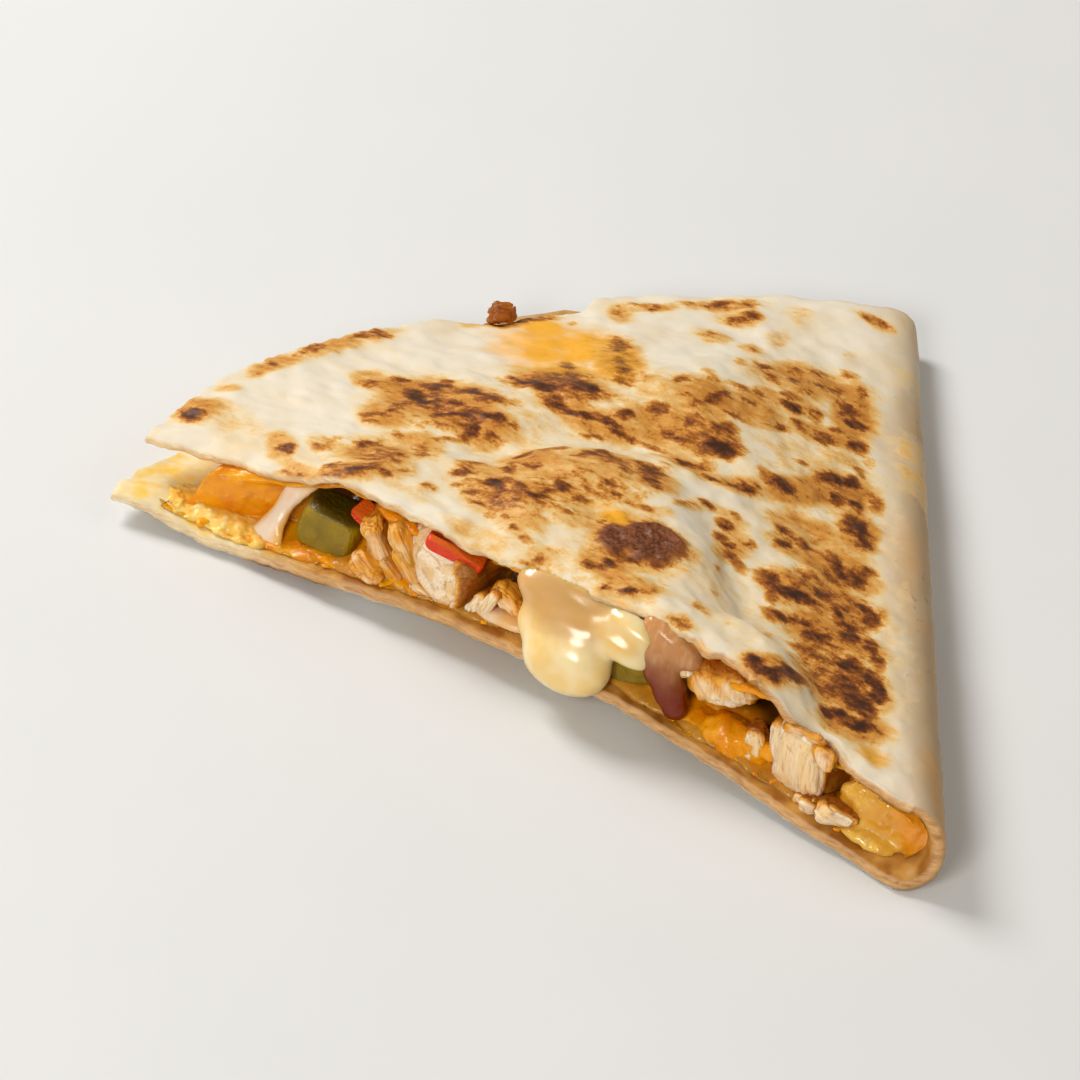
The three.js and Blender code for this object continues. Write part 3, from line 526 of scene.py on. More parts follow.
# %% Dark spots on the golden patches
DARK_SPOTS = [
    # left end of the flap and the rim behind it
    (-98.8, 68.2, 1.9, 1.5, -50, 0.9), (-88.8, 83.2, 1.4, 0.9, 50, 0.6), (-85.3, 87, 1.3, 0.9, 40, 0.6),
    (-83, 89.3, 1.8, 1.2, 45, 0.6), (-74.4, 96.2, 1.9, 1.5, -30, 0.65), (-76.8, 95.1, 1.6, 1, 30, 0.6),
    # broad patch
    (-75.3, 80.1, 1.3, 1.2, 0, 0.6), (-71.2, 82.3, 1.8, 1.1, -10, 0.75), (-66.8, 80.6, 2, 1.5, 20, 0.7),
    (-65.2, 81.8, 1.2, 1.6, 0, 0.65), (-69.2, 77.6, 2.6, 1.4, -62, 0.95), (-68.3, 75.4, 1.5, 1.2, 0, 0.8),
    (-65.5, 75, 3, 2, -10, 0.6), (-64.5, 72.4, 3, 0.9, 15, 0.7), (-62.1, 72.6, 2, 1.4, -40, 0.75),
    (-61.5, 69.4, 2, 1.2, 70, 0.95), (-58.8, 71.8, 1.6, 1, -10, 0.9), (-56, 70.8, 1.3, 0.6, -10, 0.6),
    (-62, 78.6, 2.6, 1.4, -30, 0.7), (-59, 76.6, 2.6, 1.6, -10, 0.75), (-56.5, 76.4, 2, 1, 10, 0.6),
    (-58.4, 67.8, 1.6, 0.9, -15, 0.65), (-64.2, 66.1, 2.6, 0.8, 12, 0.75), (-62.5, 67.4, 1.5, 0.8, 30, 0.65),
    (-66.5, 69, 3, 1.3, 0, 0.45), (-71.8, 73.4, 3, 0.9, 62, 0.6), (-74.9, 70.5, 2, 0.9, 0, 0.6),
    (-71.5, 66.2, 1, 1, 0, 0.5), (-75.3, 68.6, 1.2, 0.7, 0, 0.5), (-67, 78.5, 2.4, 1.8, 0, 0.5),
    # low on the left, near the cut
    (-86, 60.5, 1.5, 1.2, 0, 0.8), (-81.5, 60.8, 1.5, 1.1, 0, 0.55), (-79.4, 63, 1.2, 0.9, 30, 0.5),
    (-75, 62.6, 2, 1.1, 0, 0.65), (-73.5, 58, 3, 3, 0, 0.4), (-68.4, 61.5, 1.6, 3, 20, 0.4),
    (-79.9, 55, 1.6, 1, 0, 0.6), (-86.4, 55.8, 1.1, 0.9, 0, 0.5), (-84.5, 54.2, 1.6, 0.9, -45, 0.5),
    (-82.5, 50.9, 1.5, 0.8, -50, 0.65), (-74.5, 54.7, 1.3, 1, 30, 0.8), (-76.2, 53.2, 2.6, 0.9, 12, 0.75),
    (-73, 52.7, 0.9, 0.8, 0, 0.75), (-78.9, 52, 3, 1.2, 5, 0.55), (-70.3, 54.3, 1.4, 0.6, 15, 0.6),
    (-67, 51.6, 1.0, 0.7, 0, 0.7), (-81, 50.6, 1.6, 0.9, 10, 0.5),
    # crest
    (-54.2, 63, 1.7, 1, 15, 0.75), (-50.8, 64.2, 2.4, 0.8, 5, 0.8), (-56.3, 58, 2.2, 0.9, 80, 0.7),
    (-53.5, 58.5, 1.6, 0.9, -10, 0.55), (-47.7, 57, 1.3, 1, 0, 0.5), (-46.5, 62.7, 2, 1, 30, 0.7),
    (-44.2, 63.8, 1.6, 1.2, 60, 0.7), (-42.7, 62.3, 3, 2, 0, 0.6), (-41.2, 60, 2.5, 1, 85, 0.65),
    (-37.7, 62, 2.6, 1.9, 80, 0.8), (-38, 59, 1.5, 1.4, 0, 0.7), (-38.5, 64.2, 3, 0.8, 0, 0.7),
    (-35.4, 65.4, 1.2, 0.6, -20, 0.6), (-37, 57.3, 1.2, 1, 80, 0.5), (-43.6, 55.4, 1.1, 1, 0, 0.6),
    (-42.7, 53.8, 1.3, 0.9, -20, 0.7), (-38.5, 51.5, 1.5, 0.7, -15, 0.8), (-50.2, 53, 1.8, 1.1, 30, 0.85),
    (-52, 51.5, 1.5, 0.8, 40, 0.65), (-47, 51.3, 2.2, 0.7, 8, 0.7), (-53.5, 50.3, 1.3, 0.8, 0, 0.85),
    (-48.8, 47.7, 0.9, 0.6, 0, 0.6), (-44.6, 47.3, 0.9, 0.7, 0, 0.5), (-63, 56.1, 1.6, 1.1, 30, 0.7),
    (-61.4, 58.4, 1.4, 1.1, 30, 0.6), (-58.8, 53.2, 1.4, 1, 0, 0.9), (-55.4, 52, 2, 0.9, -50, 0.6),
    (-55.8, 43.5, 1.4, 0.6, -60, 0.6), (-54.2, 41.2, 1.1, 0.6, -30, 0.65), (-57.8, 48.6, 1.4, 0.7, 20, 0.6),
    (-61.8, 51.2, 1, 0.7, 30, 0.65), (-63.4, 52.6, 0.9, 0.6, 0, 0.65), (-60.3, 49, 1.2, 0.6, 10, 0.7),
    (-59, 46.4, 1.1, 0.6, -40, 0.6), (-57, 46, 1.2, 0.5, -50, 0.55), (-52.4, 38.2, 1.1, 0.6, -50, 0.5),
    # round the blister
    (-42.6, 43.3, 2.3, 3.3, 0, 1.0), (-37.6, 43.7, 4.5, 4.6, 0, 1.05), (-39, 39.4, 4, 1, 0, 0.6),
    (-43.5, 37.7, 1.4, 1.2, 0, 0.9), (-46, 37.2, 1, 0.7, 20, 0.6), (-40.8, 32.1, 2, 0.8, 0, 0.8),
    (-43.7, 33.4, 0.8, 0.7, 0, 0.6), (-36.2, 35.4, 1.2, 0.7, -40, 0.35), (-31.2, 31.9, 0.9, 1.4, 0, 0.5),
    (-34, 27.1, 1.8, 0.9, -20, 0.7), (-21.9, 32.7, 2.4, 0.9, 78, 0.45), (-29.2, 37.3, 0.9, 0.6, 0, 0.3),
    # broad scorched skin between the spots
    (-50, 82.5, 8, 3.4, -15, 0.42), (-56, 50.5, 8, 3.6, -15, 0.36), (-29, 74.5, 5, 3.4, 0, 0.42),
    (-52.5, 33, 7.5, 3.8, -35, 0.46), (-45, 54, 8, 3, 0, 0.26), (-12, 30, 7, 8, 0, 0.3),
    (-13, 46, 8, 4, 0, 0.26),
    # grease stain, and behind the valley
    (-48.6, 90.2, 2.2, 1, -75, 0.95), (-41.3, 98, 1.5, 3.6, 0, 0.6), (-41.3, 89.6, 1.4, 5, 0, 0.6),
    (-53.3, 82.8, 2.6, 1.6, -25, 0.85), (-51.2, 81.6, 2, 1.4, -30, 0.9), (-46.3, 82.5, 2.4, 1.6, 10, 0.85),
    (-49.4, 85.5, 4, 2.4, 0, 0.6), (-41, 86, 2, 1.3, -20, 0.7), (-55.7, 84.8, 1.4, 0.8, -60, 0.7),
    (-50.5, 78.2, 2, 1.6, -60, 0.75), (-46.7, 76.1, 3, 0.8, -8, 0.8), (-43.2, 75.2, 2, 0.9, -30, 0.75),
    (-41, 77.3, 1.6, 1.3, -10, 0.9), (-36.3, 79.8, 1.9, 1.1, -15, 0.85), (-40.5, 73, 2.6, 0.7, -22, 0.75),
    (-45.2, 72.1, 2, 0.6, 5, 0.85), (-37.5, 71.6, 3, 0.7, -22, 0.65), (-33.6, 74, 2, 0.9, -15, 0.65),
    (-27.5, 72.9, 2.6, 1.9, -15, 0.98), (-27.1, 78, 2.4, 1.5, 20, 0.7), (-31.3, 77.8, 1.6, 1.9, 0, 0.6),
    (-32.5, 68.2, 1.8, 0.8, -20, 0.85), (-29.4, 65.9, 1.7, 0.7, -10, 0.75), (-29.4, 69, 1.4, 2, 0, 0.6),
    (-33.2, 87.3, 1.3, 1.2, 0, 0.75), (-29.4, 90.9, 1.3, 1.4, 0, 0.6), (-28.5, 89, 1.4, 1.4, 0, 0.5),
    (-25.2, 89.4, 1.8, 1, 0, 0.65), (-22, 89.8, 1.5, 0.7, 0, 0.55), (-28.2, 84.8, 2.8, 0.9, 48, 0.7),
    (-24, 86.3, 1.6, 0.8, 0, 0.6), (-30.2, 82.4, 2, 0.9, 42, 0.55), (-25.5, 81.4, 1.7, 0.8, 0, 0.6),
    (-19.8, 82.5, 1.8, 0.8, 15, 0.6), (-38.9, 88.2, 1, 1.4, 0, 0.45), (-33, 83, 1.2, 0.8, 0, 0.45),
    # leopard spots
    (-21.1, 98.2, 1.3, 1.2, 0, 0.6), (-24.7, 97, 1, 1.5, 0, 0.5), (-20.5, 95.5, 1.2, 1.4, 0, 0.55),
    (-16.9, 96.5, 1, 1.3, -20, 0.7), (-22.5, 103, 0.8, 1.1, 0, 0.75), (-27.9, 106.7, 1.2, 1.3, 0, 0.55),
    (-16.3, 100.5, 1.5, 1, 0, 0.5), (-12.9, 101.2, 2, 1, 15, 0.5), (-8.2, 103.2, 1.6, 1.3, 0, 0.55),
    (-10.5, 97.5, 1.3, 1.6, 0, 0.5), (-13.2, 97.8, 1, 1.4, 0, 0.55), (-7, 99, 0.9, 1.3, 0, 0.55),
    (-15.5, 94.4, 1.2, 1, 0, 0.5), (-9, 93.6, 1.6, 1.8, 0, 0.75), (-17.8, 91.4, 1.1, 1.4, 0, 0.75),
    (-17.4, 89, 1.9, 1.2, -20, 0.9), (-13.6, 89, 1.1, 1.7, 30, 0.7), (-12.8, 84, 1.6, 1.5, 0, 0.8),
    (-8.2, 90.4, 1.8, 1.5, 0, 0.8), (-7.8, 84.8, 1.8, 1.6, 20, 0.9), (-16.6, 85.5, 1.6, 0.8, -50, 0.65),
    (-11, 87.3, 1.3, 1, 0, 0.65), (-18.6, 83.3, 1.2, 0.7, 20, 0.6), (-6.3, 81.7, 1, 1.4, 0, 0.6),
    # down along the fold
    (-16.3, 76.1, 1.3, 0.8, 0, 0.65), (-12.1, 74.8, 2.3, 1.5, 15, 0.9), (-9.3, 75.6, 1.8, 1.6, 0, 0.9),
    (-7.8, 78.6, 1, 1.4, 0, 0.7), (-10.9, 70.6, 1.2, 1.7, 0, 0.8), (-8.5, 70.2, 1.2, 1.4, 0, 0.75),
    (-5.2, 72, 1.3, 2.4, 0, 0.7), (-19.4, 69, 2.3, 1.4, -10, 0.95), (-21.3, 70.3, 1.6, 0.9, 0, 0.75),
    (-24.4, 66, 2.7, 1.1, 8, 0.85), (-8.8, 65, 2, 2.8, 0, 0.9), (-7.8, 61.6, 1.5, 2, 0, 0.7),
    (-18.8, 58.9, 1.4, 1.3, 0, 0.8), (-16.4, 57.3, 1.6, 1.3, -30, 0.7), (-19.1, 55.8, 1.7, 1.1, 35, 0.95),
    (-11.6, 55, 2.4, 1.2, -65, 0.75), (-9.2, 52.9, 2.3, 2, 20, 0.9), (-7.2, 55, 1.4, 1.2, 30, 0.75),
    (-12.4, 51.5, 1.4, 1.5, 0, 0.6), (-16.2, 50, 2, 1.5, 30, 0.5), (-27.5, 56, 1.4, 1.2, 0, 1.0),
    (-29.6, 58.8, 1.5, 0.6, -10, 0.75), (-25.6, 58.2, 1, 0.8, -60, 0.65), (-23.5, 52.9, 0.9, 0.8, 0, 0.8),
    (-27.7, 52.8, 1.3, 1.4, 0, 0.85), (-26.4, 51.4, 1.2, 1, 0, 0.85), (-25.7, 48, 2.6, 1.1, -62, 0.85),
    (-28.3, 43.5, 1.1, 0.6, 60, 0.55), (-33.2, 55.9, 2.8, 0.6, 45, 0.7), (-21.5, 46.3, 2, 2.3, 0, 0.95),
    (-18, 44.3, 4, 1.5, -5, 0.95), (-13.9, 46.6, 1.3, 1.6, 0, 0.85), (-21, 42.2, 1, 1.6, 0, 0.75),
    (-8, 46.3, 1.3, 1.4, 0, 0.85), (-7, 43.8, 1.4, 2, 0, 0.9), (-9.6, 41.4, 3, 1.1, 0, 0.9),
    (-12, 43.2, 1, 1.6, 0, 0.75), (-20.4, 38.8, 2.2, 1.5, 0, 1.0), (-17, 39.2, 2.4, 0.9, 0, 0.75),
    (-14.6, 37, 2.6, 1.2, 20, 0.9), (-10, 38.8, 1.5, 1.6, 0, 0.85), (-7.2, 37.7, 1.2, 2, 0, 0.85),
    (-6.5, 34.6, 1.1, 2, 0, 0.9), (-16.2, 33, 2.8, 1.1, -12, 0.9), (-10.4, 32.7, 2.4, 1.4, 0, 1.0),
    (-7.2, 30.8, 1.5, 2.4, 0, 0.95), (-6.5, 27.6, 1.3, 2.6, 0, 0.95), (-10.8, 27.3, 3.4, 3.4, 0, 0.7),
    (-8.8, 23.8, 2.2, 2.6, 0, 0.85), (-13, 20.8, 2.2, 1.3, 10, 0.95), (-9.6, 19.6, 2.6, 1.5, 0, 0.9),
    (-24.2, 22.3, 1.5, 1.7, 0, 1.0), (-22, 20.9, 2.4, 1.2, -10, 1.0), (-18.9, 22.7, 2.6, 1.5, 32, 1.0),
    # back rim
    (-21.7, 114.8, 1.5, 1.4, 0, 0.8), (-24.4, 112.8, 2, 1.1, 15, 0.7), (-22.5, 118.6, 1.2, 2, 0, 0.55),
    (-26.7, 117.3, 2.4, 1.5, 15, 0.6), (-32, 116, 2, 0.9, 20, 0.5), (-37.8, 113.8, 3, 0.8, 18, 0.5),
    (-36.3, 112.4, 0.7, 1.6, 0, 0.5), (-4.4, 118.8, 2.4, 1, -25, 0.65), (-58.6, 105.6, 2, 1.2, 25, 0.75),
    (-53.5, 107, 4, 1.2, 18, 0.65), (-47.8, 106.3, 0.6, 0.9, 0, 0.65), (-41, 111.2, 0.9, 2, 0, 0.4),
]
GREASE_PATCHES = [
    (-50, 97, 10, 9, 0, 0.9), (-51.5, 103.5, 3.5, 3, 0, 1.3), (-42, 92, 4, 8, 0, 0.7),
    (-42.7, 48.6, 2.2, 1.5, -15, 1.3), (-49, 88, 6, 4, 0, 0.6), (-7.5, 14, 2, 3, 0, 0.6),
    (-41, 28.6, 3.5, 1.2, -25, 1.2), (-30.5, 21.5, 1.4, 3.2, 25, 1.1), (-45, 51, 3, 1, 0, 0.5),
]
BLISTER_OVALS = [(-42.6, 43.3, 2.3, 3.3, 0, 1.0), (-37.6, 43.7, 4.6, 4.7, 0, 1.0)]


def drawn_ovals(count, seed, smallest, largest, low, high):
    """The underside browned too: here ovals of the same kind are drawn by a seeded die."""
    die = random.Random(seed)
    ovals = []
    for _ in range(count):
        turn = die.uniform(0.05, 0.98) * CUT_ANGLE
        reach = RADIUS * die.uniform(0.1, 0.97) ** 0.6
        half = die.uniform(smallest, largest)
        shape = (half, half * die.uniform(0.45, 0.9), die.uniform(-50, 20), die.uniform(low, high))
        ovals.append((-reach * math.sin(turn), reach * math.cos(turn), *shape))
    return ovals


def strength_at(x, y, ovals, core=0.3, skirt=1.35):
    """The strongest oval at each point: full inside core and gone outside skirt radii."""
    best = np.zeros_like(x)
    for centre_x, centre_y, half_length, half_width, turn, strength in ovals:
        c = math.cos(math.radians(turn))
        s = math.sin(math.radians(turn))
        along = ((x - centre_x) * c + (y - centre_y) * s) / half_length
        across = ((y - centre_y) * c - (x - centre_x) * s) / half_width
        best = np.maximum(best, strength * (1 - smooth(core, skirt, np.hypot(along, across))))
    return best


print("dark spots on top:", len(DARK_SPOTS))

# %% [markdown]
# ## Relief of the tortilla
# Seen close, the sheet is never smooth. There are soft bubbles a few millimetres wide, a dark
# blister that stands up, a pale valley behind the crest of the middle mound, and a crease where
# the sheet bends down towards the fold. These forms are large enough to catch light at their
# edges, so they belong in the mesh. Only the finest wrinkles are left to bump in the material.

# %% Relief, in millimetres
VALLEY = [(-60, 66), (-50, 69.5), (-41, 71), (-33, 70), (-24, 66), (-16, 62)]
CREASE = [(-30, 62), (-28, 52), (-26, 44), (-24, 35)]
CREST = [(-60, 54), (-56, 59), (-50, 63), (-43, 66), (-36, 66.5), (-29, 63)]


def near_line(x, y, line, width):
    """1 on a line of points and falling to 0 away from it, over about its width."""
    nearest = np.full_like(x, 1e9)
    for (x0, y0), (x1, y1) in zip(line, line[1:]):
        span = (x1 - x0) ** 2 + (y1 - y0) ** 2
        t = np.clip(((x - x0) * (x1 - x0) + (y - y0) * (y1 - y0)) / span, 0, 1)
        nearest = np.minimum(nearest, np.hypot(x - mix(x0, x1, t), y - mix(y0, y1, t)))
    return np.exp(-((nearest / width) ** 2))


def relief(points, toast, blister):
    x, y = points[:, 0], points[:, 1]
    high = 0.34 * ripple(points, 7, 1) + 0.36 * ripple(points, 3.4, 2) + 0.18 * ripple(points, 1.6, 3)
    high += 0.16 * np.clip(toast, 0, 1) * (0.6 + ripple(points, 2.2, 4))
    high += 0.45 * near_line(x, y, CREST, 2.6) - 0.75 * near_line(x, y, VALLEY, 3.6)
    high -= 0.5 * near_line(x, y, CREASE, 2.2)
    high += blister * (0.7 + 0.5 * ripple(points, 1.5, 5) + 0.35 * ripple(points, 0.8, 6))
    return high


print("the valley is", round(math.dist(VALLEY[0], VALLEY[-1])), "mm long")

# %% [markdown]
# ## The torn edges
# A knife squeezes the bread before it cuts, so the cut edge of the top flap is thinner than the
# sheet, pressed down and a little ragged. The wobble is noise along the edge that dies out a few
# millimetres inside.

# %% Build the tortilla
EDGE_PRESS = 0.75
PRESS_WIDTH = 3.2
GAP_AT = 14.5  # here along the cut the top flap stands off the filling a little
GAP_WIDTH = 5.5
GAP_OPEN = 1.3
TORN_AT = 26.0  # and here its edge is more ragged
TORN_WIDTH = 15.0
CROWD = 0.2  # the width over which crowded columns give way
BITE = 2.6  # bites out of the bottom flap's rim near the cut
ROWS = 172
BOTTOM_COLUMNS = 50
BEND_COLUMNS = 18
TOP_COLUMNS = 196


def column_positions():
    """Finest at both cut edges, where the most shows."""
    bottom = (np.arange(BOTTOM_COLUMNS) / BOTTOM_COLUMNS) ** 1.5
    bend = 1 + np.arange(BEND_COLUMNS) / BEND_COLUMNS
    t = np.arange(TOP_COLUMNS + 1) / TOP_COLUMNS
    return np.concatenate([bottom, bend, 2 + t * (1.55 - 0.55 * t)])


def edge_wobble(points, size, seed):
    return 0.6 * ripple(points, size, seed) + 0.4 * ripple(points, size / 3, seed + 1)


def uncross(points):
    """Near the tip the flaps' columns crowd, and none may pass the line where the bend begins."""
    x = points[:, 0].reshape(ROWS + 1, -1)
    first, last = BOTTOM_COLUMNS, BOTTOM_COLUMNS + BEND_COLUMNS
    for line, flap in ((first, slice(0, first)), (last, slice(last + 1, None))):
        apart = x[:, line, None] - x[:, flap]
        x[:, flap] = x[:, line, None] - (apart + np.hypot(apart, CROWD)) / 2
    points[:, 0] = x.ravel()


def shaped_sheet():
    """The outer skin as a grid, with its relief, browning and how far it is from its edges."""
    bm = bmesh.new()
    columns = column_positions()
    count = len(columns) - 1
    bmesh.ops.create_grid(bm, x_segments=count, y_segments=ROWS, size=0.5)
    raw = points_of(bm.verts) + 0.5
    u = columns[np.rint(raw[:, 0] * count).astype(int)]
    s = mix(FIRST_ROW, 1, raw[:, 1])
    place_points(bm.verts, np.stack(sheet_point(s, u), axis=1))
    bm.normal_update()
    up = sum(face.normal.z for face in bm.faces if face.calc_center_median().z > 9)
    if up < 0:
        bmesh.ops.reverse_faces(bm, faces=bm.faces)
        bm.normal_update()
    return bm, s, u


tortilla_bm, row, column = shaped_sheet()
points = points_of(tortilla_bm.verts)
normals = np.array([v.normal for v in tortilla_bm.verts])
on_top = smooth(1.7, 2.1, column)
to_top_cut = (3 - column) * CUT_ANGLE * row * RADIUS
to_bottom_cut = column * CUT_ANGLE * row * RADIUS
to_rim = (1 - row) * RADIUS
print("sheet points:", len(points), "highest", round(points[:, 2].max(), 1), "mm")

# %% [markdown]
# The ovals now become numbers on the points of the sheet. Their outlines are swayed by noise
# first, or they would show as ovals. Then the points move: out by the relief, down where the
# knife pressed, and in and out along the cut and the rim.

# %% Browning and relief of the sheet
flat = points * (1, 1, 0)
x = points[:, 0] + 1.1 * ripple(flat, 4.5, 11)
y = points[:, 1] + 1.1 * ripple(flat, 4.5, 13)
ragged_x = points[:, 0] + 0.45 * ripple(flat, 1.5, 12)
ragged_y = points[:, 1] + 0.45 * ripple(flat, 1.5, 14)
on_upper = smooth(1.6, 2.05, column)
on_lower = 1 - smooth(0.8, 1.0, column)
gold = strength_at(x, y, GOLD_PATCHES, 0.45, 1.3) * on_upper
gold = np.maximum(gold, strength_at(x, y, drawn_ovals(60, 7, 4, 11, 0.6, 1.0)) * on_lower)
on_bend = smooth(0.9, 1.1, column) * (1 - smooth(1.9, 2.1, column))
gold = np.maximum(gold, 0.4 * on_bend * smooth(0, 0.5, ripple(points * (0.6, 0.45, 0.6), 5, 25)))
toast = strength_at(ragged_x, ragged_y, DARK_SPOTS, 0.4, 1.45) * on_upper
toast = np.maximum(toast, strength_at(x, y, drawn_ovals(300, 8, 0.9, 2.6, 0.5, 1.0)) * gold * on_lower)
blister = strength_at(ragged_x, ragged_y, BLISTER_OVALS, 0.75, 1.12) * on_upper
grease = strength_at(x, y, GREASE_PATCHES) * on_upper

creases = 0.2 * ripple(points, 7, 21) + 0.14 * ripple(points * (0.5, 1.8, 0.5), 3.2, 22)
push = relief(points, toast, blister) * on_top + creases * (1 - on_top)
push *= smooth(0, 4, to_bottom_cut)
points = points + normals * push[:, None]
press = on_top * (1 - smooth(0, PRESS_WIDTH, to_top_cut)) + 0.6 * on_top * (1 - smooth(0, 4, to_rim))
at_gap = np.exp(-(((row * RADIUS - GAP_AT) / GAP_WIDTH) ** 2)) * on_top
points[:, 2] -= EDGE_PRESS * press * smooth(3, 14, row * RADIUS)
points[:, 2] += GAP_OPEN * at_gap * (1 - smooth(0, 8, to_top_cut))

wobble = edge_wobble(flat, 3.0, 31)
torn = np.exp(-(((row * RADIUS - TORN_AT) / TORN_WIDTH) ** 2)) * on_top
wobble = wobble * (1 + 0.5 * torn) + 0.25 * torn * edge_wobble(flat, 1.4, 35) + GAP_OPEN * at_gap
at_cut = on_top * (1 - smooth(0, 4, to_top_cut)) + 0.7 * (1 - smooth(0, 3, to_bottom_cut))
at_cut *= smooth(0, 8, row * RADIUS)
at_rim = 1 - smooth(0, 4, to_rim)
reach = np.maximum(np.hypot(points[:, 0], points[:, 1]), 1.0)
points[:, 0] += COS * wobble * at_cut - points[:, 0] / reach * np.abs(wobble) * at_rim
points[:, 1] += SIN * wobble * at_cut - points[:, 1] / reach * np.abs(wobble) * at_rim
bites = np.clip(edge_wobble(flat, 4.5, 33) + 0.35, 0, 1)
bites = bites * (1 - smooth(4, 15, to_bottom_cut)) * (1 - on_upper)
points[:, :2] *= 1 - (BITE * bites * (1 - smooth(0, 8, to_rim)) / reach)[:, None]
points[:, 2] = np.maximum(points[:, 2], 0.0)
uncross(points)
place_points(tortilla_bm.verts, points)
along = from_cut(points[:, 0], points[:, 1])[0]
oily_stretches = 0.75 * smooth(-0.25, 0.35, ripple(flat, 10, 24)) * (1 - smooth(108, 116, along))
# where grease soaked in; the darker colours this brings also paint shade along the lip
soak_and_shade = (1 - on_upper) * (1 - smooth(92, 108, along))
soak_and_shade += on_upper * np.maximum(1 - smooth(36, 50, along), oily_stretches)
# painted shade: darkens the side of the top flap that falls towards the fold, less so at the back; the same
# mask also carries real browned flecks there
side = smooth(-7, 1, points[:, 0]) * (1 - 0.5 * smooth(90, 110, points[:, 1]))
stores = {
    "gold": gold,
    "toast": toast,
    "blister": blister,
    "grease": grease,
    "soak_and_shade": soak_and_shade,
    "side": side,
    "inside": np.zeros(len(points)),
    "crumb": np.zeros(len(points)),
}
for name, values in stores.items():
    mark(tortilla_bm, name, values)
print("browned share", round(float((toast > 0.5).mean()), 2))

# %% [markdown]
# ## Giving the sheet its thickness
# A Solidify modifier would give one thickness everywhere. Here a copy of the grid is moved
# inwards by an amount that shrinks towards the edges, and its faces are turned round. Bridging
# the two borders closes the slab, and two more loops on that strip, pushed out a little, make
# the edge round instead of square. At the two tips the grid's columns crowd into slivers that
# would shade badly, so the shortest edges there are dissolved.


# %% Inner skin and round edge
EDGE_THINNED = 0.42  # share of the thickness that is lost at the top flap's cut
EDGE_ROUND = 0.28  # the edge's middle stands out this far
TIP_FLAT = 2.0  # less so within this distance of a tip
SLIVER = 0.05


def sheet_thickness():
    near_cut = on_top * (1 - smooth(0, 4.5, to_top_cut))
    near_bottom_cut = 1 - smooth(0, 3, to_bottom_cut)
    near_rim = 1 - smooth(0, 5, to_rim)
    thinned = EDGE_THINNED * np.maximum(near_cut, 0.7 * near_rim)
    return SHEET * (1 - thinned) - 0.35 * near_bottom_cut


def close_sheet(bm, thickness):
    """Adds the inner skin, and gives its points and the edges that join it to the outer one."""
    bm.normal_update()
    outer_border = [edge for edge in bm.edges if edge.is_boundary]
    copied = bmesh.ops.duplicate(bm, geom=bm.verts[:] + bm.edges[:] + bm.faces[:])
    inner = [item for item in copied["geom"] if isinstance(item, bmesh.types.BMVert)]
    inner_faces = [item for item in copied["geom"] if isinstance(item, bmesh.types.BMFace)]
    inner_border = [e for e in copied["geom"] if isinstance(e, bmesh.types.BMEdge) and e.is_boundary]
    sunk = points_of(inner) - np.array([v.normal for v in inner]) * thickness[:, None]
    uncross(sunk)
    place_points(inner, sunk)
    bmesh.ops.reverse_faces(bm, faces=inner_faces)
    bridge = bmesh.ops.bridge_loops(bm, edges=outer_border + inner_border)
    return inner, bridge["edges"]


inner_skin, rungs = close_sheet(tortilla_bm, sheet_thickness())
inside_layer = tortilla_bm.verts.layers.float.get("inside")
crumb_layer = tortilla_bm.verts.layers.float.get("crumb")
for vert in inner_skin:
    vert[inside_layer] = 1.0
cut = bmesh.ops.subdivide_edges(tortilla_bm, edges=rungs, cuts=2)
tortilla_bm.normal_update()
TIPS = [Vector((-FOLD_IN, (back + FOLD_IN * COS) / SIN)) for back in (0.0, SET_BACK_APEX)]


def to_tip(vert):
    return min((vert.co.xy - tip).length for tip in TIPS)


for item in cut["geom_inner"]:
    if isinstance(item, bmesh.types.BMVert):
        item[crumb_layer] = 1.0
        item.co += item.normal * EDGE_ROUND * min(1.0, to_tip(item) / TIP_FLAT)
crowded = [edge for edge in tortilla_bm.edges if to_tip(edge.verts[0]) < TIP_FLAT]
bmesh.ops.dissolve_degenerate(tortilla_bm, edges=crowded, dist=SLIVER)
print("edges across the slab:", len(rungs))
print("open or doubled edges:", sum(not edge.is_manifold for edge in tortilla_bm.edges))

# %% [markdown]
# ## Finish of the tortilla
# One material shows the floury skin, the browning, the wet inner face and the crumb of the cut
# edge. It also paints shade: down the side that falls towards the fold, and in part into the
# darker colours of the soaked face and crumb. The browning is a sum: the patch strength from the
# mesh, long spots that follow the way the dough was rolled, larger blotches and a fine grain. A
# colour ramp then turns that sum from cream through gold and brown to nearly black. The same
# sum, lightly, drives the bump, because what is browned is what stands up.

# %% Tortilla finish
SPOT_TURN = -27.0  # degrees, the way the dough was rolled
tortilla_finish, tree, shader, where = finish_of(
    "griddled_tortilla",
    Subsurface_Weight=0.14,
    Subsurface_Radius=(1.0, 0.6, 0.3),
    Subsurface_Scale=1.5 * MM,
    Specular_IOR_Level=0.3,
)

spots = grainy(tree, where, 1.3 * MM, 2.0, (1.35, 0.85, 1), SPOT_TURN)
blots = grainy(tree, where, 3.6 * MM, 2.0, (1.3, 0.9, 1), SPOT_TURN)
grain = grainy(tree, where, 0.45 * MM, 3.0)
gold_value = stored(tree, "gold")
toast_value = stored(tree, "toast")
blister_value = stored(tree, "blister")
inside = stored(tree, "inside")
crumb = stored(tree, "crumb")
grease_value = stored(tree, "grease")


def sway(value, amount):
    """Noise turned from 0..1 into a push up or down, in the tree of that value."""
    return times(work(value.id_data, "SUBTRACT", value, 0.5), amount)


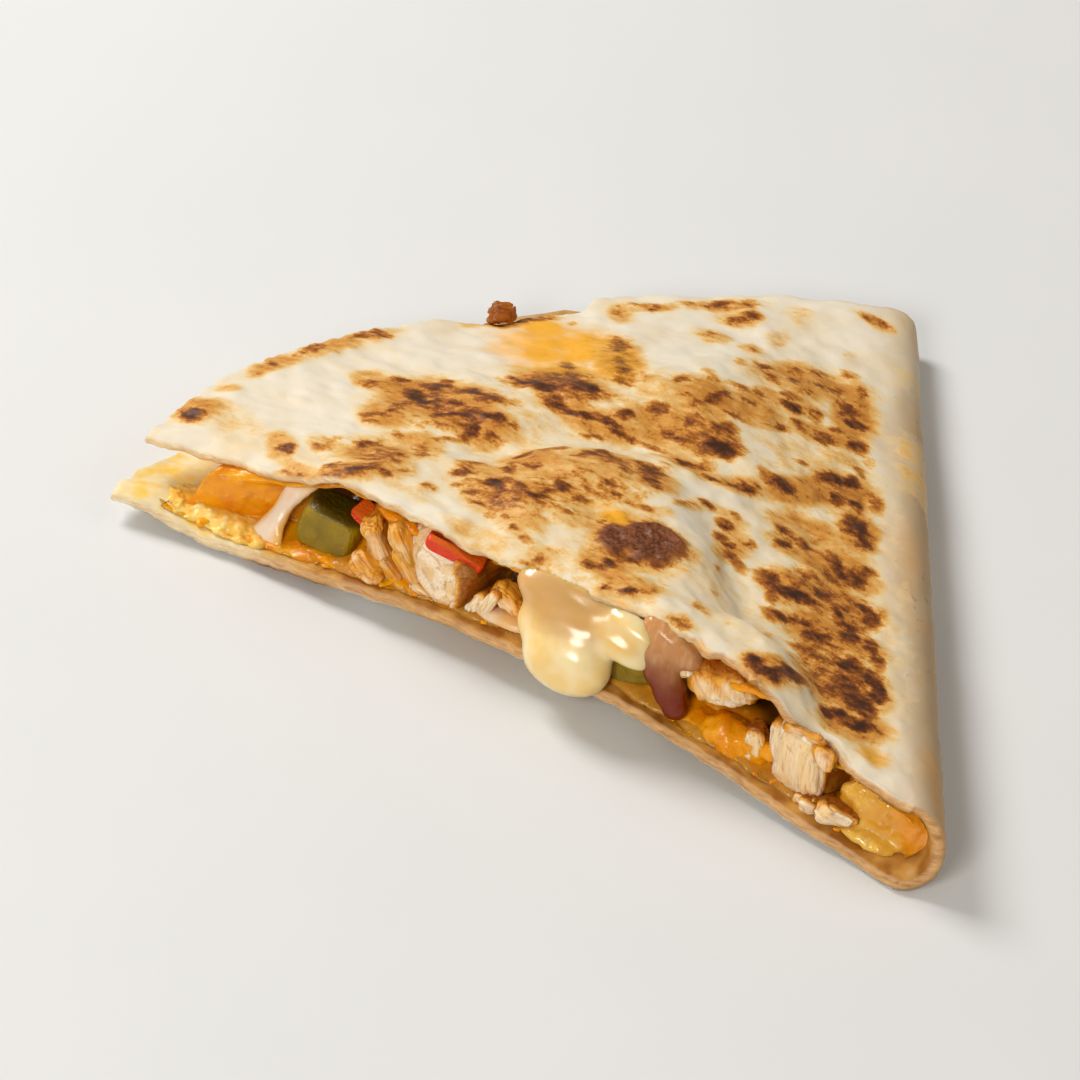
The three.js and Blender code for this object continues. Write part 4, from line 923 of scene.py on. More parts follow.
unevenness = work(tree, "ADD", sway(blots, 0.9), sway(spots, 0.7))
unevenness = work(tree, "ADD", unevenness, sway(grain, 0.35))
unevenness = times(unevenness, spread(tree, gold_value, 0.0, 0.35, 0.25, 1.0))
golden = spread(tree, work(tree, "ADD", gold_value, unevenness), 0.0, 1.15)
fleck = work(tree, "ADD", sway(spots, 1.3), sway(grain, 0.7))
fleck = times(fleck, spread(tree, gold_value, 0.1, 0.7, 0.25, 1.0))
dark = spread(tree, work(tree, "ADD", toast_value, fleck), 0.15, 1.15)
browning = work(tree, "ADD", times(golden, 0.5), times(dark, 0.58))

ramp = add(tree, "ShaderNodeValToRGB", {0: browning})
STOPS = [
    (0.0, (229, 221, 205)),
    (0.1, (230, 212, 178)),
    (0.22, (224, 184, 116)),
    (0.36, (206, 144, 60)),
    (0.52, (166, 98, 30)),
    (0.68, (122, 66, 20)),
    (0.84, (86, 44, 16)),
    (1.0, (60, 32, 16)),
]
stops = ramp.color_ramp.elements
while len(stops) < len(STOPS):
    stops.new(0.5)
for stop, (place, colour) in zip(stops, STOPS):
    stop.position = place
    stop.color = srgb(*colour)

blistered = tint(tree, spread(tree, grain, 0.38, 0.66), srgb(80, 36, 16), srgb(152, 92, 56))
clouds = grainy(tree, where, 7 * MM, 2.5)
skin = tint(tree, spread(tree, clouds, 0.45, 0.7, 0.0, 0.45), ramp.outputs[0], srgb(220, 196, 154))
# painted shade down the fold side, then real rubbed browning and dark flecks on that same side
fold_shade_and_flecks = stored(tree, "side")
skin = tint(tree, times(fold_shade_and_flecks, 0.9), skin, srgb(174, 146, 108))
rubbed = times(fold_shade_and_flecks, spread(tree, grainy(tree, where, 6 * MM, 3.0, (1, 2.2, 1)), 0.46, 0.66))
skin = tint(tree, times(rubbed, 0.55), skin, srgb(206, 152, 78))
speck = times(fold_shade_and_flecks, spread(tree, grainy(tree, where, 1.5 * MM, 2.0), 0.66, 0.76))
skin = tint(tree, times(speck, 0.45), skin, srgb(140, 90, 40))
skin = tint(tree, spread(tree, browning, 0.05, 0.25), skin, ramp.outputs[0])
skin = tint(tree, work(tree, "MULTIPLY", blister_value, 0.75, True), skin, blistered)
stained = tint(tree, spread(tree, browning, 0.2, 0.8), srgb(240, 172, 34), srgb(112, 54, 8))
greasy = spread(tree, work(tree, "ADD", grease_value, sway(blots, 0.8)), 0.1, 0.85, 0.0, 0.95)
greasy = times(greasy, spread(tree, grease_value, 0.0, 0.15))
skin = tint(tree, greasy, skin, stained)
streaky = spread(tree, grainy(tree, where, 4 * MM, 2.5), 0.38, 0.62)
dry = tint(tree, streaky, srgb(240, 226, 186), srgb(230, 206, 148))
oily = spread(tree, grainy(tree, where, 4.4 * MM), 0.5, 0.68, 0.0, 0.85)
dry = tint(tree, oily, dry, srgb(240, 196, 52))
# wet inner face: darker partly from grease, partly as painted shade
wet_and_shaded = tint(tree, streaky, srgb(158, 98, 30), srgb(208, 156, 78))
soak_and_shade = stored(tree, "soak_and_shade")
skin = tint(tree, inside, skin, tint(tree, soak_and_shade, dry, wet_and_shaded))
layers = spread(tree, grainy(tree, where, 0.8 * MM, 4.0, (3, 3, 0.6), 0.0, 0.7), 0.3, 0.62)
bread = tint(tree, layers, srgb(212, 174, 118), srgb(244, 226, 190))
# soaked crumb of the cut edge: darker partly from grease, partly as painted shade
soaked_and_shaded_bread = tint(tree, layers, srgb(154, 86, 16), srgb(214, 152, 68))
bread = tint(tree, times(soak_and_shade, 0.7), bread, soaked_and_shaded_bread)
skin = tint(tree, crumb, skin, bread)
tree.links.new(skin, shader.inputs["Base Color"])

gloss = spread(tree, browning, 0.2, 1.1, 0.62, 0.42)
gloss = work(tree, "SUBTRACT", gloss, times(inside, 0.2))
gloss = work(tree, "SUBTRACT", gloss, times(grease_value, 0.12))
tree.links.new(gloss, shader.inputs["Roughness"])
wrinkles = grainy(tree, where, 3.0 * MM, 2.5, roughness=0.45)
raised = times(spots, spread(tree, gold_value, 0.1, 0.6, 0.0, 0.6))
ruffle(tree, shader, work(tree, "ADD", raised, wrinkles), 0.4 * MM, 0.45)
make_piece("tortilla_sheet", tortilla_bm, tortilla_finish, ["tortilla"])

# %% [markdown]
# ## Standing a piece at the cut
# Each piece of the filling is shaped lying at zero, with its X along the cut towards the tip, its
# Y into the food and its Z up. Then one matrix stands it at the cut: how far along, how deep and
# how high, and how it is tilted. Its numbers stay close to those of the solid it stands for.


# %% Placing pieces at the cut
def stand(along, depth, height, roll=0.0, yaw=0.0, pitch=0.0):
    x, y = to_plan(along, depth)
    turn = Matrix.Rotation(math.radians(yaw) + CUT_ANGLE - math.pi / 2, 4, "Z")
    tilt = Matrix.Rotation(math.radians(-roll), 4, "Y") @ Matrix.Rotation(math.radians(pitch), 4, "X")
    return Matrix.Translation((x, y, height)) @ turn @ tilt


def squared(points, size, square):
    """Points of a unit ball pushed towards a box of this size: 0 is an egg, 1 nearly a dice."""
    power = mix(1, 0.4, square)
    return np.sign(points) * np.abs(points) ** power * np.array(size) / 2


def rounded_box(size, square, step):
    """A box of fine, even faces with soft corners, and the unit directions of its points."""
    bm = bmesh.new()
    bmesh.ops.create_cube(bm, size=2)
    cuts = round(max(size) / step)
    bmesh.ops.subdivide_edges(bm, edges=bm.edges, cuts=cuts, use_grid_fill=True)
    flat = points_of(bm.verts)
    units = flat / np.linalg.norm(flat, axis=1)[:, None]
    place_points(bm.verts, squared(units, size, square))
    bm.normal_update()
    return bm, units


def set_back(along):
    """How far the top flap's edge stands behind the bottom one's."""
    return mix(SET_BACK_APEX, SET_BACK_RIM, smooth(SET_BACK_FROM, 1, along / RADIUS))


STEP = 0.5  # for measuring a slope
STUCK_IN = 0.15  # what touches the sheet sinks in this far
PROUD = 8.0  # in front of a flap's edge a piece may pass it by this much


def room_between(x, y, level):
    """A height between the flaps: level 0 on the bottom one, 1 under the top one."""

    def sheet(face):
        dx = (face(x + STEP, y) - face(x - STEP, y)) / (2 * STEP)
        dy = (face(x, y + STEP) - face(x, y - STEP)) / (2 * STEP)
        return (SHEET - STUCK_IN) * np.sqrt(1 + dx**2 + dy**2)

    return mix(lower(x, y) + sheet(lower), upper(x, y) - sheet(upper), level)


def settle(bm):
    """Presses a piece between the flaps, so that it shows in front of them but never through."""
    points = points_of(bm.verts)
    x, y = points[:, 0], points[:, 1]
    along, depth = from_cut(x, y)
    behind = depth - set_back(along)
    free_above = PROUD * (1 - smooth(-1.6, 0.2, behind))
    free_below = PROUD * (1 - smooth(-0.8, 0.6, depth))
    ceiling = room_between(x, y, 1.0) - EDGE_PRESS * (1 - smooth(0, PRESS_WIDTH, behind)) + free_above
    floor = room_between(x, y, 0.0) - free_below
    points[:, 2] = np.clip(points[:, 2], floor, np.maximum(ceiling, floor))
    fold_x = np.full_like(y, -FOLD_IN)
    bottom = room_between(fold_x, y, 0.0)
    level = np.clip((points[:, 2] - bottom) / (room_between(fold_x, y, 1.0) - bottom), 0, 1)
    inner_bend = -FOLD_IN + (FOLD_IN + FOLD_OUT - SHEET) * np.sin(np.pi * level)
    points[:, 0] = np.minimum(x, inner_bend + 0.1)
    place_points(bm.verts, points)
    bm.normal_update()


def push_out(bm, amounts):
    for vert, amount in zip(bm.verts, amounts):
        vert.co += vert.normal * float(amount)
    bm.normal_update()


def mark_place(bm, name, points):
    """Stores the piece's own coordinates, so that its grain follows it however it is tilted."""
    layer = bm.verts.layers.float_vector.new(name)
    for vert, point in zip(bm.verts, points):
        vert[layer] = Vector(point) * MM


print("a piece at 60 mm stands at", [round(v, 1) for v in stand(60, 5, 8).to_translation()])

# %% [markdown]
# ## Melted cheese
# Melted cheese has no edges of its own: wherever two lumps touch they flow into one. The model
# copies that. Eggs of different sizes are put where the cheese lies, a Remesh modifier wraps them
# all in one skin of small even faces, and smoothing lets the necks between them sag into each
# other. Metaballs would blend too, but their size is harder to hold.


# %% Melting lumps into one skin
SMALL_LUMP = 4.0


def melt(lumps, voxel, rounds):
    """lumps: (size, place, turns, square) with turns as roll and yaw in degrees."""
    bm = bmesh.new()
    for size, place, turns, square in lumps:
        fineness = 4 if max(size) > SMALL_LUMP else 2
        verts = bmesh.ops.create_icosphere(bm, subdivisions=fineness, radius=1)["verts"]
        place_points(verts, squared(points_of(verts), size, square))
        bmesh.ops.transform(bm, matrix=stand(*place, *turns), verts=verts)
    data = bpy.data.meshes.new("rough")
    bm.to_mesh(data)
    bm.free()
    rough = bpy.data.objects.new("rough", data)
    bpy.context.scene.collection.objects.link(rough)
    wrap = rough.modifiers.new("wrap", "REMESH")
    wrap.mode = "VOXEL"
    wrap.voxel_size = voxel
    skin = bmesh.new()
    skin.from_object(rough, bpy.context.evaluated_depsgraph_get())
    bpy.data.objects.remove(rough)
    for _ in range(rounds):
        bmesh.ops.smooth_vert(
            skin, verts=skin.verts, factor=0.5, use_axis_x=True, use_axis_y=True, use_axis_z=True
        )
    skin.normal_update()
    return skin


def melt_in_place(lumps, voxel, rounds, bumps):
    """Melts, roughens and presses it between the flaps. bumps: height, width, seed, upright squash."""
    bm = melt(lumps, voxel, rounds)
    points = points_of(bm.verts)
    bumpy = [high * ripple(points * (1, 1, squash), wide, seed) for high, wide, seed, squash in bumps]
    push_out(bm, sum(bumpy))
    settle(bm)
    return bm


print("lumps up to", SMALL_LUMP, "mm get fewer faces")

# %% [markdown]
# ## Cheddar
# Cheddar fills the pocket between the flaps and holds everything else. Its core is a tube that
# is as thick as the pocket at each row: along the bottom flap, round the bend, back under the top
# flap and down the face at the cut. The face clings to both flaps in a thin film and sinks in
# between them, and it wells out in lumps or sinks into holes between the other pieces, where
# its colour is painted nearly black as shade.

# %% Face of the cheddar
FACE_DEPTH = 9.0
# along, width, level, reach in level, forward (back if negative)
WELLS = [
    (111, 8, 0.5, 1.2, 3.6),
    (85, 8, 0.05, 0.4, 4.6),
    (60, 14, 0.05, 0.4, 4.6),
    (35, 10, 0.05, 0.32, 5.4),
    (7, 7, 0.5, 1.2, 5.6),
    (92, 5, 0.85, 0.4, -4.0),
    (67, 4, 0.6, 0.4, -4.0),
    (33, 9, 0.62, 0.2, -4.0),
]
CORE_FIRST = 0.085  # the core reaches from this share of the way out
CORE_LAST = 0.93  # to this one
CORE_REACH = 0.012  # and this much further at the cut
THIN_FROM = 0.915  # from here on it thins
THIN_TO = 0.1  # to this share of the pocket


def face_depth(along, level):
    depth = np.full_like(along, FACE_DEPTH + 1.2)
    for centre, width, centre_level, reach, forward in WELLS:
        near = np.exp(-(((along - centre) / width) ** 2) - ((level - centre_level) / reach) ** 2)
        depth = depth - forward * near
    low_film = 1 - smooth(0, 0.2, level)
    high_film = smooth(0.84, 1, level)
    depth = mix(depth, 1.2 + 0.4 * np.sin(0.7 * along), low_film)
    depth = mix(depth, set_back(along) + 0.7 + 0.4 * np.sin(1.1 * along), high_film)
    to_fold = (along * SIN - FOLD_IN) / COS
    return np.minimum(depth, 0.7 * np.maximum(to_fold, 0))


print("the face at 60 mm sinks in by", round(float(face_depth(np.array(60.0), np.array(0.5))), 1), "mm")

# %% [markdown]
# The tube itself is a grid again: its rows run from the fold to the rim, and its columns go once
# round the section. The face is then made lumpy where it shows.

# %% Core of the cheddar
CORE_ROWS = 220
FLAP_STEPS = 34
BEND_STEPS = 8
FACE_STEPS = 34


def ring_positions():
    """Round the tube: how far across the flap, how high, and how far round the bend."""
    run = (np.arange(FLAP_STEPS) / FLAP_STEPS) ** 1.6
    turn = (np.arange(BEND_STEPS) / BEND_STEPS) * np.pi
    rise = np.arange(FACE_STEPS) / FACE_STEPS
    across = np.concatenate([1 - run, 0 * turn, run, 1 + 0 * rise])
    level = np.concatenate([0 * run, (1 - np.cos(turn)) / 2, 1 + 0 * run, 1 - rise])
    bend = np.concatenate([0 * run, turn, 0 * run, 0 * rise])
    return across, level, bend


def cheddar_core():
    across, level, bend = ring_positions()
    count = len(across)
    bm = bmesh.new()
    bmesh.ops.create_grid(bm, x_segments=count, y_segments=CORE_ROWS, size=0.5)
    raw = points_of(bm.verts) + 0.5
    column = np.rint(raw[:, 0] * count).astype(int) % count
    a, h, turn = across[column], level[column], bend[column]
    s = mix(CORE_FIRST, CORE_LAST + CORE_REACH * a**4, raw[:, 1])
    x, y = bottom_point(s, a)
    back = face_depth(s * RADIUS, h) * a**3
    x = np.minimum(x + back * COS, -FOLD_IN - 0.4)
    y = y + back * SIN * (1 - s**6)
    fill = mix(1, THIN_TO, smooth(THIN_FROM, CORE_LAST + CORE_REACH, s))
    z = room_between(x, y, h * fill)
    x = x + (FOLD_IN + FOLD_OUT - SHEET - 0.5) * np.sin(turn)
    place_points(bm.verts, np.stack([x, y, z], axis=1))
    bmesh.ops.remove_doubles(bm, verts=bm.verts, dist=1e-4)
    bmesh.ops.holes_fill(bm, edges=[e for e in bm.edges if e.is_boundary], sides=0)
    bmesh.ops.recalc_face_normals(bm, faces=bm.faces)
    return bm


cheddar_bm = cheddar_core()
points = points_of(cheddar_bm.verts)
along, depth = from_cut(points[:, 0], points[:, 1])
shows = 1 - smooth(9, 16, depth)
shows = np.maximum(shows, smooth(0.88, 0.93, np.hypot(points[:, 0], points[:, 1]) / RADIUS))
lumpy = 0.6 * ripple(points, 4.5, 41) + 0.4 * ripple(points, 2.0, 42) + 0.15 * ripple(points, 0.9, 43)
calm = mix(1, 0.35, np.exp(-(((along - 106) / 8) ** 2)))
push_out(cheddar_bm, lumpy * shows * calm * 0.8)
over_lip = points[:, 2] - room_between(points[:, 0], points[:, 1], 0.0)
film = (1 - smooth(0.2, 1.6, over_lip)) * (1 - smooth(3, 5.5, depth))
mark(cheddar_bm, "thin", film * (1 - smooth(88, 98, along)))
# painted shade: deep in the face, where the holes between the pieces lie in shade, the colour turns nearly
# black
mark(cheddar_bm, "deep", smooth(6.0, 9.5, depth) * (1 - smooth(100, 106, along)))
print("cheddar lumps stand out by", round(float(lumpy.max()), 1), "mm")

# %% [markdown]
# Cheddar is glossy where it melted, lets light a little way in, and is not one colour: thin
# films are yellower, thick lumps more orange, and where it ran over the chicken it is brown with
# spice. Deep in the holes of its face it is painted nearly black, as shade. Subsurface
# scattering gives the soft glow.


# %% Cheddar finish
def cheese_finish(name, deep, bright, fleck, brown, gloss, stained=0.4):
    made, tree, shader, where = finish_of(
        name,
        Roughness=gloss,
        Subsurface_Weight=0.3,
        Subsurface_Radius=(0.9, 0.5, 0.06),
        Subsurface_Scale=1.2 * MM,
        Specular_IOR_Level=0.3,
        Coat_Weight=0.25,
        Coat_Roughness=0.1,
    )
    patches = grainy(tree, where, 5 * MM, 2.0)
    small = grainy(tree, where, 1.3 * MM, 3.0)
    stains = grainy(tree, where, 2.8 * MM, 2.5)
    mixed = tint(tree, spread(tree, patches, 0.35, 0.65), deep, bright)
    mixed = tint(tree, spread(tree, small, 0.6, 0.8), mixed, fleck)
    mixed = tint(tree, spread(tree, stains, 0.56, 0.7, 0.0, stained), mixed, brown)
    tree.links.new(mixed, shader.inputs["Base Color"])
    ruffle(tree, shader, small, 0.4 * MM, 0.7)
    return made, tree, shader, mixed


cheddar_finish, tree, shader, mixed = cheese_finish(
    "melted_cheddar", srgb(228, 134, 0), srgb(246, 168, 6), srgb(250, 206, 84), srgb(170, 88, 4), 0.26, 0.25
)
mixed = tint(tree, times(stored(tree, "thin"), 0.85), mixed, srgb(188, 136, 56))
# painted shade in the deep holes of the face
mixed = tint(tree, times(stored(tree, "deep"), 0.95), mixed, srgb(62, 20, 2))
tree.links.new(mixed, shader.inputs["Base Color"])
make_piece("cheddar_core", cheddar_bm, cheddar_finish, ["cheddar"])

# %% [markdown]
# In front of the core cheddar stands out in lumps: a big one under the second chicken piece,
# threads over the first one, a thin sauce along the lip and shreds stuck under the top flap. In
# the bend of the fold lies a yellower, wetter cheese, with an orange band towards the bend.

# %% Lumps of cheddar that well out at the cut
# size, place (along, depth, height), roll and yaw in degrees, how square
CHEDDAR_LUMPS = [
    # under the second chicken piece
    ((9, 7, 4.6), (39.5, 5.0, 4.6), (6, 0), 0.3),
    ((7, 6, 5.4), (33, 3.8, 5.2), (-8, 0), 0.2),
    ((5, 4.5, 5.4), (28.8, 4.0, 5.4), (0, 0), 0.2),
    ((2.6, 2.6, 2.4), (43.6, 3.2, 5.4), (0, 0), 0.1),
    ((2.2, 2.2, 2.0), (41.0, 2.2, 4.0), (0, 0), 0.1),
    ((2.0, 2.0, 2.2), (37.6, 2.0, 5.0), (0, 0), 0.1),
    ((2.4, 2.2, 2.0), (31.2, 1.9, 4.4), (0, 0), 0.1),
    ((3.0, 2.6, 2.6), (26.4, 3.0, 6.6), (0, 0), 0.1),
    # stretched over the left side of the first chicken piece
    ((1.4, 2.0, 6.5), (84.6, 5.2, 11.4), (30, 0), 0.2),
    ((1.5, 2.0, 6.5), (88.4, 6.4, 8.2), (12, 0), 0.2),
    ((13, 3.4, 1.8), (36, 2.4, 3.6), (2, 0), 0.2),
    # thin sauce along the lip
    ((18, 3.4, 1.1), (88, 2.4, 4.0), (-3, 0), 0.2),
    ((14, 3.2, 1.0), (77, 2.4, 5.2), (-2, 0), 0.2),
    ((6, 3, 2.2), (64, 4.2, 7.8), (0, 0), 0.2),
    ((10, 2.6, 1.0), (103, 2.0, 2.9), (-3, 0), 0.2),
    # stuck under the top flap's edge
    ((9, 2.4, 1.2), (106.4, 7.4, 9.3), (3, 0), 0.2),
    ((8, 2.4, 1.6), (84, 4.6, 13.2), (-6, 0), 0.2),
    ((9, 2.2, 1.3), (66, 3.4, 15.0), (-6, 0), 0.2),
    ((9, 2.2, 1.4), (30, 3.2, 14.6), (14, 0), 0.2),
    ((7, 2.2, 1.4), (20, 3.0, 12.2), (18, 0), 0.2),
]
lumps_bm = melt_in_place(CHEDDAR_LUMPS, 0.36, 3, [(0.4, 2.4, 51, 1), (0.28, 1.1, 52, 1)])
make_piece("cheddar_lumps", lumps_bm, cheddar_finish)

FOLD_CHEESE = [
    ((15, 4.0, 7.0), (8.2, 5.2, 5.2), (-4, 0), 0.8),
    ((11, 3.4, 5.4), (6.6, 5.6, 7.4), (-24, 0), 0.7),
    ((9, 3.4, 1.6), (10, 2.4, 2.8), (-4, 0), 0.2),
    ((8, 2.2, 1.2), (6.6, 3.6, 9.2), (-30, 0), 0.2),
]
fold_bm = melt_in_place(FOLD_CHEESE, 0.34, 6, [(0.6, 2.4, 53, 0.6), (0.26, 1.0, 54, 1)])
points = points_of(fold_bm.verts)
mark(fold_bm, "band", smooth(-5.0, -2.6, points[:, 0] + 0.35 * (points[:, 2] - 7)))
fold_finish, tree, shader, mixed = cheese_finish(
    "yellow_cheddar", srgb(224, 158, 36), srgb(242, 196, 84), srgb(252, 230, 170), srgb(206, 124, 20), 0.16
)
mixed = tint(tree, times(stored(tree, "band"), 0.85), mixed, srgb(232, 146, 6))
tree.links.new(mixed, shader.inputs["Base Color"])
shader.inputs["Coat Weight"].default_value = 0.7
make_piece("fold_cheese", fold_bm, fold_finish)

# %% [markdown]
# ## Crumbled cheese on the lip
# On the left the knife dragged half melted cheese over the lip, and it broke into pale curds
# with bits of orange. Small crumbs of the same kind lie all along the cut. A seeded die scatters
# them along a line, with the size and spread given for each stretch, and melts them together
# only a little, so that they stay crumbly.


# %% Curds and crumbs
def scatter(stretches, seed):
    """Each stretch: from along, to along, depth from, depth to, smallest, largest, count."""
    die = random.Random(seed)
    lumps = []
    for from_along, to_along, near, far, smallest, largest, count in stretches:
        for _ in range(count):
            size = die.uniform(smallest, largest)
            along = die.uniform(from_along, to_along)
            depth = die.uniform(near, far)
            x, y = to_plan(along, depth)
            ground = float(room_between(np.array(x), np.array(y), 0.0))
            place = (along, depth, ground + size * die.uniform(0.0, 0.35))
            shape = (size * die.uniform(0.8, 1.7), size * die.uniform(0.7, 1.4), size * die.uniform(0.4, 0.8))
            lumps.append((shape, place, (die.uniform(-30, 30), die.uniform(-60, 60)), die.uniform(0, 0.5)))
    return lumps


PALE_STRETCHES = [
    (99, 116, 0.9, 5.2, 0.5, 1.2, 110),
    (110, 117, 2.4, 6.4, 0.6, 1.2, 30),
    (104, 111, 2.6, 6.0, 1.4, 2.6, 16),
    (12, 20, 1.0, 3.0, 0.8, 1.6, 12),
]
SMEAR = [
    ((15, 5.2, 1.2), (106, 2.9, 2.7), (-2, 3), 0.3),
    ((9, 6.0, 2.0), (106.5, 4.2, 3.2), (-4, 0), 0.3),
    ((9, 8, 1.4), (113.4, 4.6, 3.1), (8, 20), 0.3),
]
ORANGE_STRETCHES = [
    (99, 112, 0.9, 2.4, 0.6, 1.2, 22),
    (60, 100, 0.9, 3.2, 0.5, 1.1, 46),
    (6, 50, 0.9, 3.2, 0.5, 1.3, 52),
    (28, 44, 2.0, 4.0, 1.0, 1.8, 14),
]
pale_finish = cheese_finish(
    "pale_curds", srgb(246, 182, 54), srgb(250, 210, 116), srgb(253, 236, 194), srgb(238, 150, 10), 0.4, 0.9
)[0]
curds = scatter(PALE_STRETCHES, 4) + SMEAR
curds_bm = melt_in_place(curds, 0.24, 3, [(0.35, 1.3, 81, 1), (0.22, 0.6, 82, 1)])
make_piece("pale_curds", curds_bm, pale_finish)

crumbs_bm = melt_in_place(scatter(ORANGE_STRETCHES, 5), 0.26, 1, [(0.14, 0.9, 82, 1)])
make_piece("orange_crumbs", crumbs_bm, cheddar_finish)

# %% [markdown]
# ## The white cheese and its drop
# In the middle of the cut white cheese wells out from under the top flap and hangs over the edge
# in one heavy drop, with a lobe that hooks to the right. It is the smoothest and wettest thing
# here, so it gets the finest skin, many rounds of smoothing and a low roughness.

# %% White cheese
WHITE_LUMPS = [
    ((15, 46, 4.4), (56, 30, 9.0), (0, -4), 0.6),
    ((22, 14, 6.4), (55.5, 8, 12.2), (-5, 0), 0.4),
    ((23, 7, 5.6), (54.5, 4.6, 14.8), (-4, 0), 0.4),
    ((17, 7, 5.4), (57.6, 2.6, 13.2), (-14, 0), 0.3),
    ((14.2, 7.4, 9.4), (56.8, 0.8, 10.6), (0, 0), 0.2),
    ((12.6, 7.6, 9.4), (55.4, -0.9, 8.0), (0, 0), 0.15),
    ((10.5, 5.6, 4.6), (49.2, 1.2, 13.0), (-16, 0), 0.15),
    ((9, 4.4, 4.0), (47.2, 1.9, 15.0), (-16, 0), 0.15),
]
white_bm = melt(WHITE_LUMPS, 0.4, 16)
points = points_of(white_bm.verts)
push_out(white_bm, 0.1 * ripple(points, 5, 61))
settle(white_bm)
along, depth = from_cut(points[:, 0], points[:, 1])
# painted shade of the top flap over a tan tone: near the flap the cheese is darkened
over = smooth(9.5, 14.5, points[:, 2] + 0.25 * depth)
mark(white_bm, "flap_shade_and_tan", over * mix(0.25, 1, smooth(49, 55, along)))
white_finish, tree, shader, where = finish_of(
    "melted_white_cheese",
    Roughness=0.27,
    Subsurface_Weight=0.8,
    Subsurface_Radius=(1.0, 0.7, 0.35),
    Subsurface_Scale=2.2 * MM,
    Coat_Weight=0.7,
    Coat_Roughness=0.17,
)
cloud = spread(tree, grainy(tree, where, 5 * MM), 0.4, 0.65)
cream = tint(tree, cloud, srgb(242, 208, 132), srgb(247, 229, 182))
# painted shade and tan tone near the top flap
flap_shade_and_tan = spread(tree, stored(tree, "flap_shade_and_tan"), 0.1, 0.9, 0.0, 0.85)
cream = tint(tree, flap_shade_and_tan, cream, srgb(206, 158, 92))
tree.links.new(cream, shader.inputs["Base Color"])
ruffle(tree, shader, grainy(tree, where, 3 * MM, 1.0), 0.3 * MM, 0.1)
make_piece("white_cheese_drop", white_bm, white_finish, ["white_cheese"])

# %% [markdown]
# ## Chicken
# Cooked chicken is a bundle of fibres. Across the grain it shows as cells a couple of
# millimetres wide with dark seams between them, and along the grain as long ribs. Cell noise
# stretched along one axis gives both at once: cells on the faces it meets end on, ribs on the
# others. The outside of each piece was fried in spice and is brown, and the face that the knife
# cut is nearly white.


# %% Chicken shape
def fibres(points, width, grain, seed):
    """For each point: 0 in a seam to 1 inside a bundle of fibres, and a number for that bundle."""
    stretched = points / width
    stretched[:, grain] *= 0.16
    shift = Vector((seed * 3.7, seed * 1.9, seed * 7.1))
    gaps = []
    bundles = []
    for point in stretched:
        distances, centres = noise.voronoi(Vector(point) + shift)
        gaps.append(distances[1] - distances[0])
        bundles.append(0.5 + 0.5 * noise.noise(centres[0] * 3.1))
    return smooth(0.0, 0.11, np.array(gaps)), np.array(bundles)


MEAT_STEP = 0.34  # size of a face of the meat


def chicken(size, grain, seed, square=0.5, fibre=2.4, rough=0.6, ribs=(), pale=(0.25, 0.75), side=0.0):
    """ribs: spacing, tilt in degrees and depth. pale: where white starts and is full. side: turns the white
    away from the right side, which goes brown as painted shade.
    """
    bm, units = rounded_box(size, square, MEAT_STEP)
    points = points_of(bm.verts)
    wavy = points + 0.9 * np.stack([ripple(points, 3, seed + k) for k in range(3)], axis=1)
    solid, bundle = fibres(wavy, fibre, grain, seed)
    thread, strand = fibres(wavy, fibre * 0.4, grain, seed + 5)
    craggy = ripple(points, 4.5, seed + 7) + 0.7 * ripple(points, 2.0, seed + 8)
    steps = 0.8 * (bundle - 0.5) + 0.4 * (strand - 0.5)
    push = rough * (0.24 * (solid - 1) + 0.12 * (thread - 1) + 0.8 * craggy + steps)
    if ribs:
        spacing, tilt, height = ribs
        lean = math.radians(tilt)
        across = wavy[:, 0] * math.cos(lean) + wavy[:, 2] * math.sin(lean)
        crest = np.abs(np.cos(np.pi * across / spacing)) ** 0.6
        solid = np.minimum(mix(0.75, 1, solid), smooth(0.1, 0.55, crest))
        push += height * (crest - 1)
    push_out(bm, push)
    # painted shade: with side, the right side of a piece loses its white and turns brown
    facing = -units[:, 1] - 0.3 * units[:, 2] - side * units[:, 0] + 0.3 * ripple(points, 2.6, seed + 9)
    cut_face = smooth(*pale, facing)
    mark(bm, "cut_face", cut_face)
    mark(bm, "seam", 1 - solid * mix(0.8, 1, thread))
    mark(bm, "bundle", bundle)
    mark_place(bm, "grain", np.roll(points, -grain, axis=1))
    return bm


print("faces of the meat are", MEAT_STEP, "mm wide")

# %% [markdown]
# The meat's colour follows what the shape stored: white with a warm grain where the knife cut,
# a glaze beside it, brown on the fried outside, and darker seams between the fibres. Where a
# piece is turned by side, its right side is painted brown as shade, and the darkest browns
# partly stand for that shade.

# %% Chicken finish
chicken_finish, tree, shader, where = finish_of(
    "fried_chicken",
    Roughness=0.4,
    Subsurface_Weight=0.2,
    Subsurface_Radius=(1.0, 0.5, 0.25),
    Subsurface_Scale=1.2 * MM,
    Specular_IOR_Level=0.35,
    Coat_Weight=0.12,
    Coat_Roughness=0.2,
)
own = stored(tree, "grain", "Vector")
threads = grainy(tree, own, 0.3 * MM, 2.0, (9, 1, 1))
blots = grainy(tree, where, 2.6 * MM, 2.5)
bundle = stored(tree, "bundle")
white = tint(tree, spread(tree, bundle, 0.35, 0.65), srgb(244, 210, 156), srgb(251, 233, 204))
white = tint(tree, spread(tree, threads, 0.5, 0.7, 0.0, 0.6), white, srgb(222, 170, 110))
glazed = tint(tree, spread(tree, threads, 0.4, 0.7), srgb(244, 176, 52), srgb(220, 136, 22))
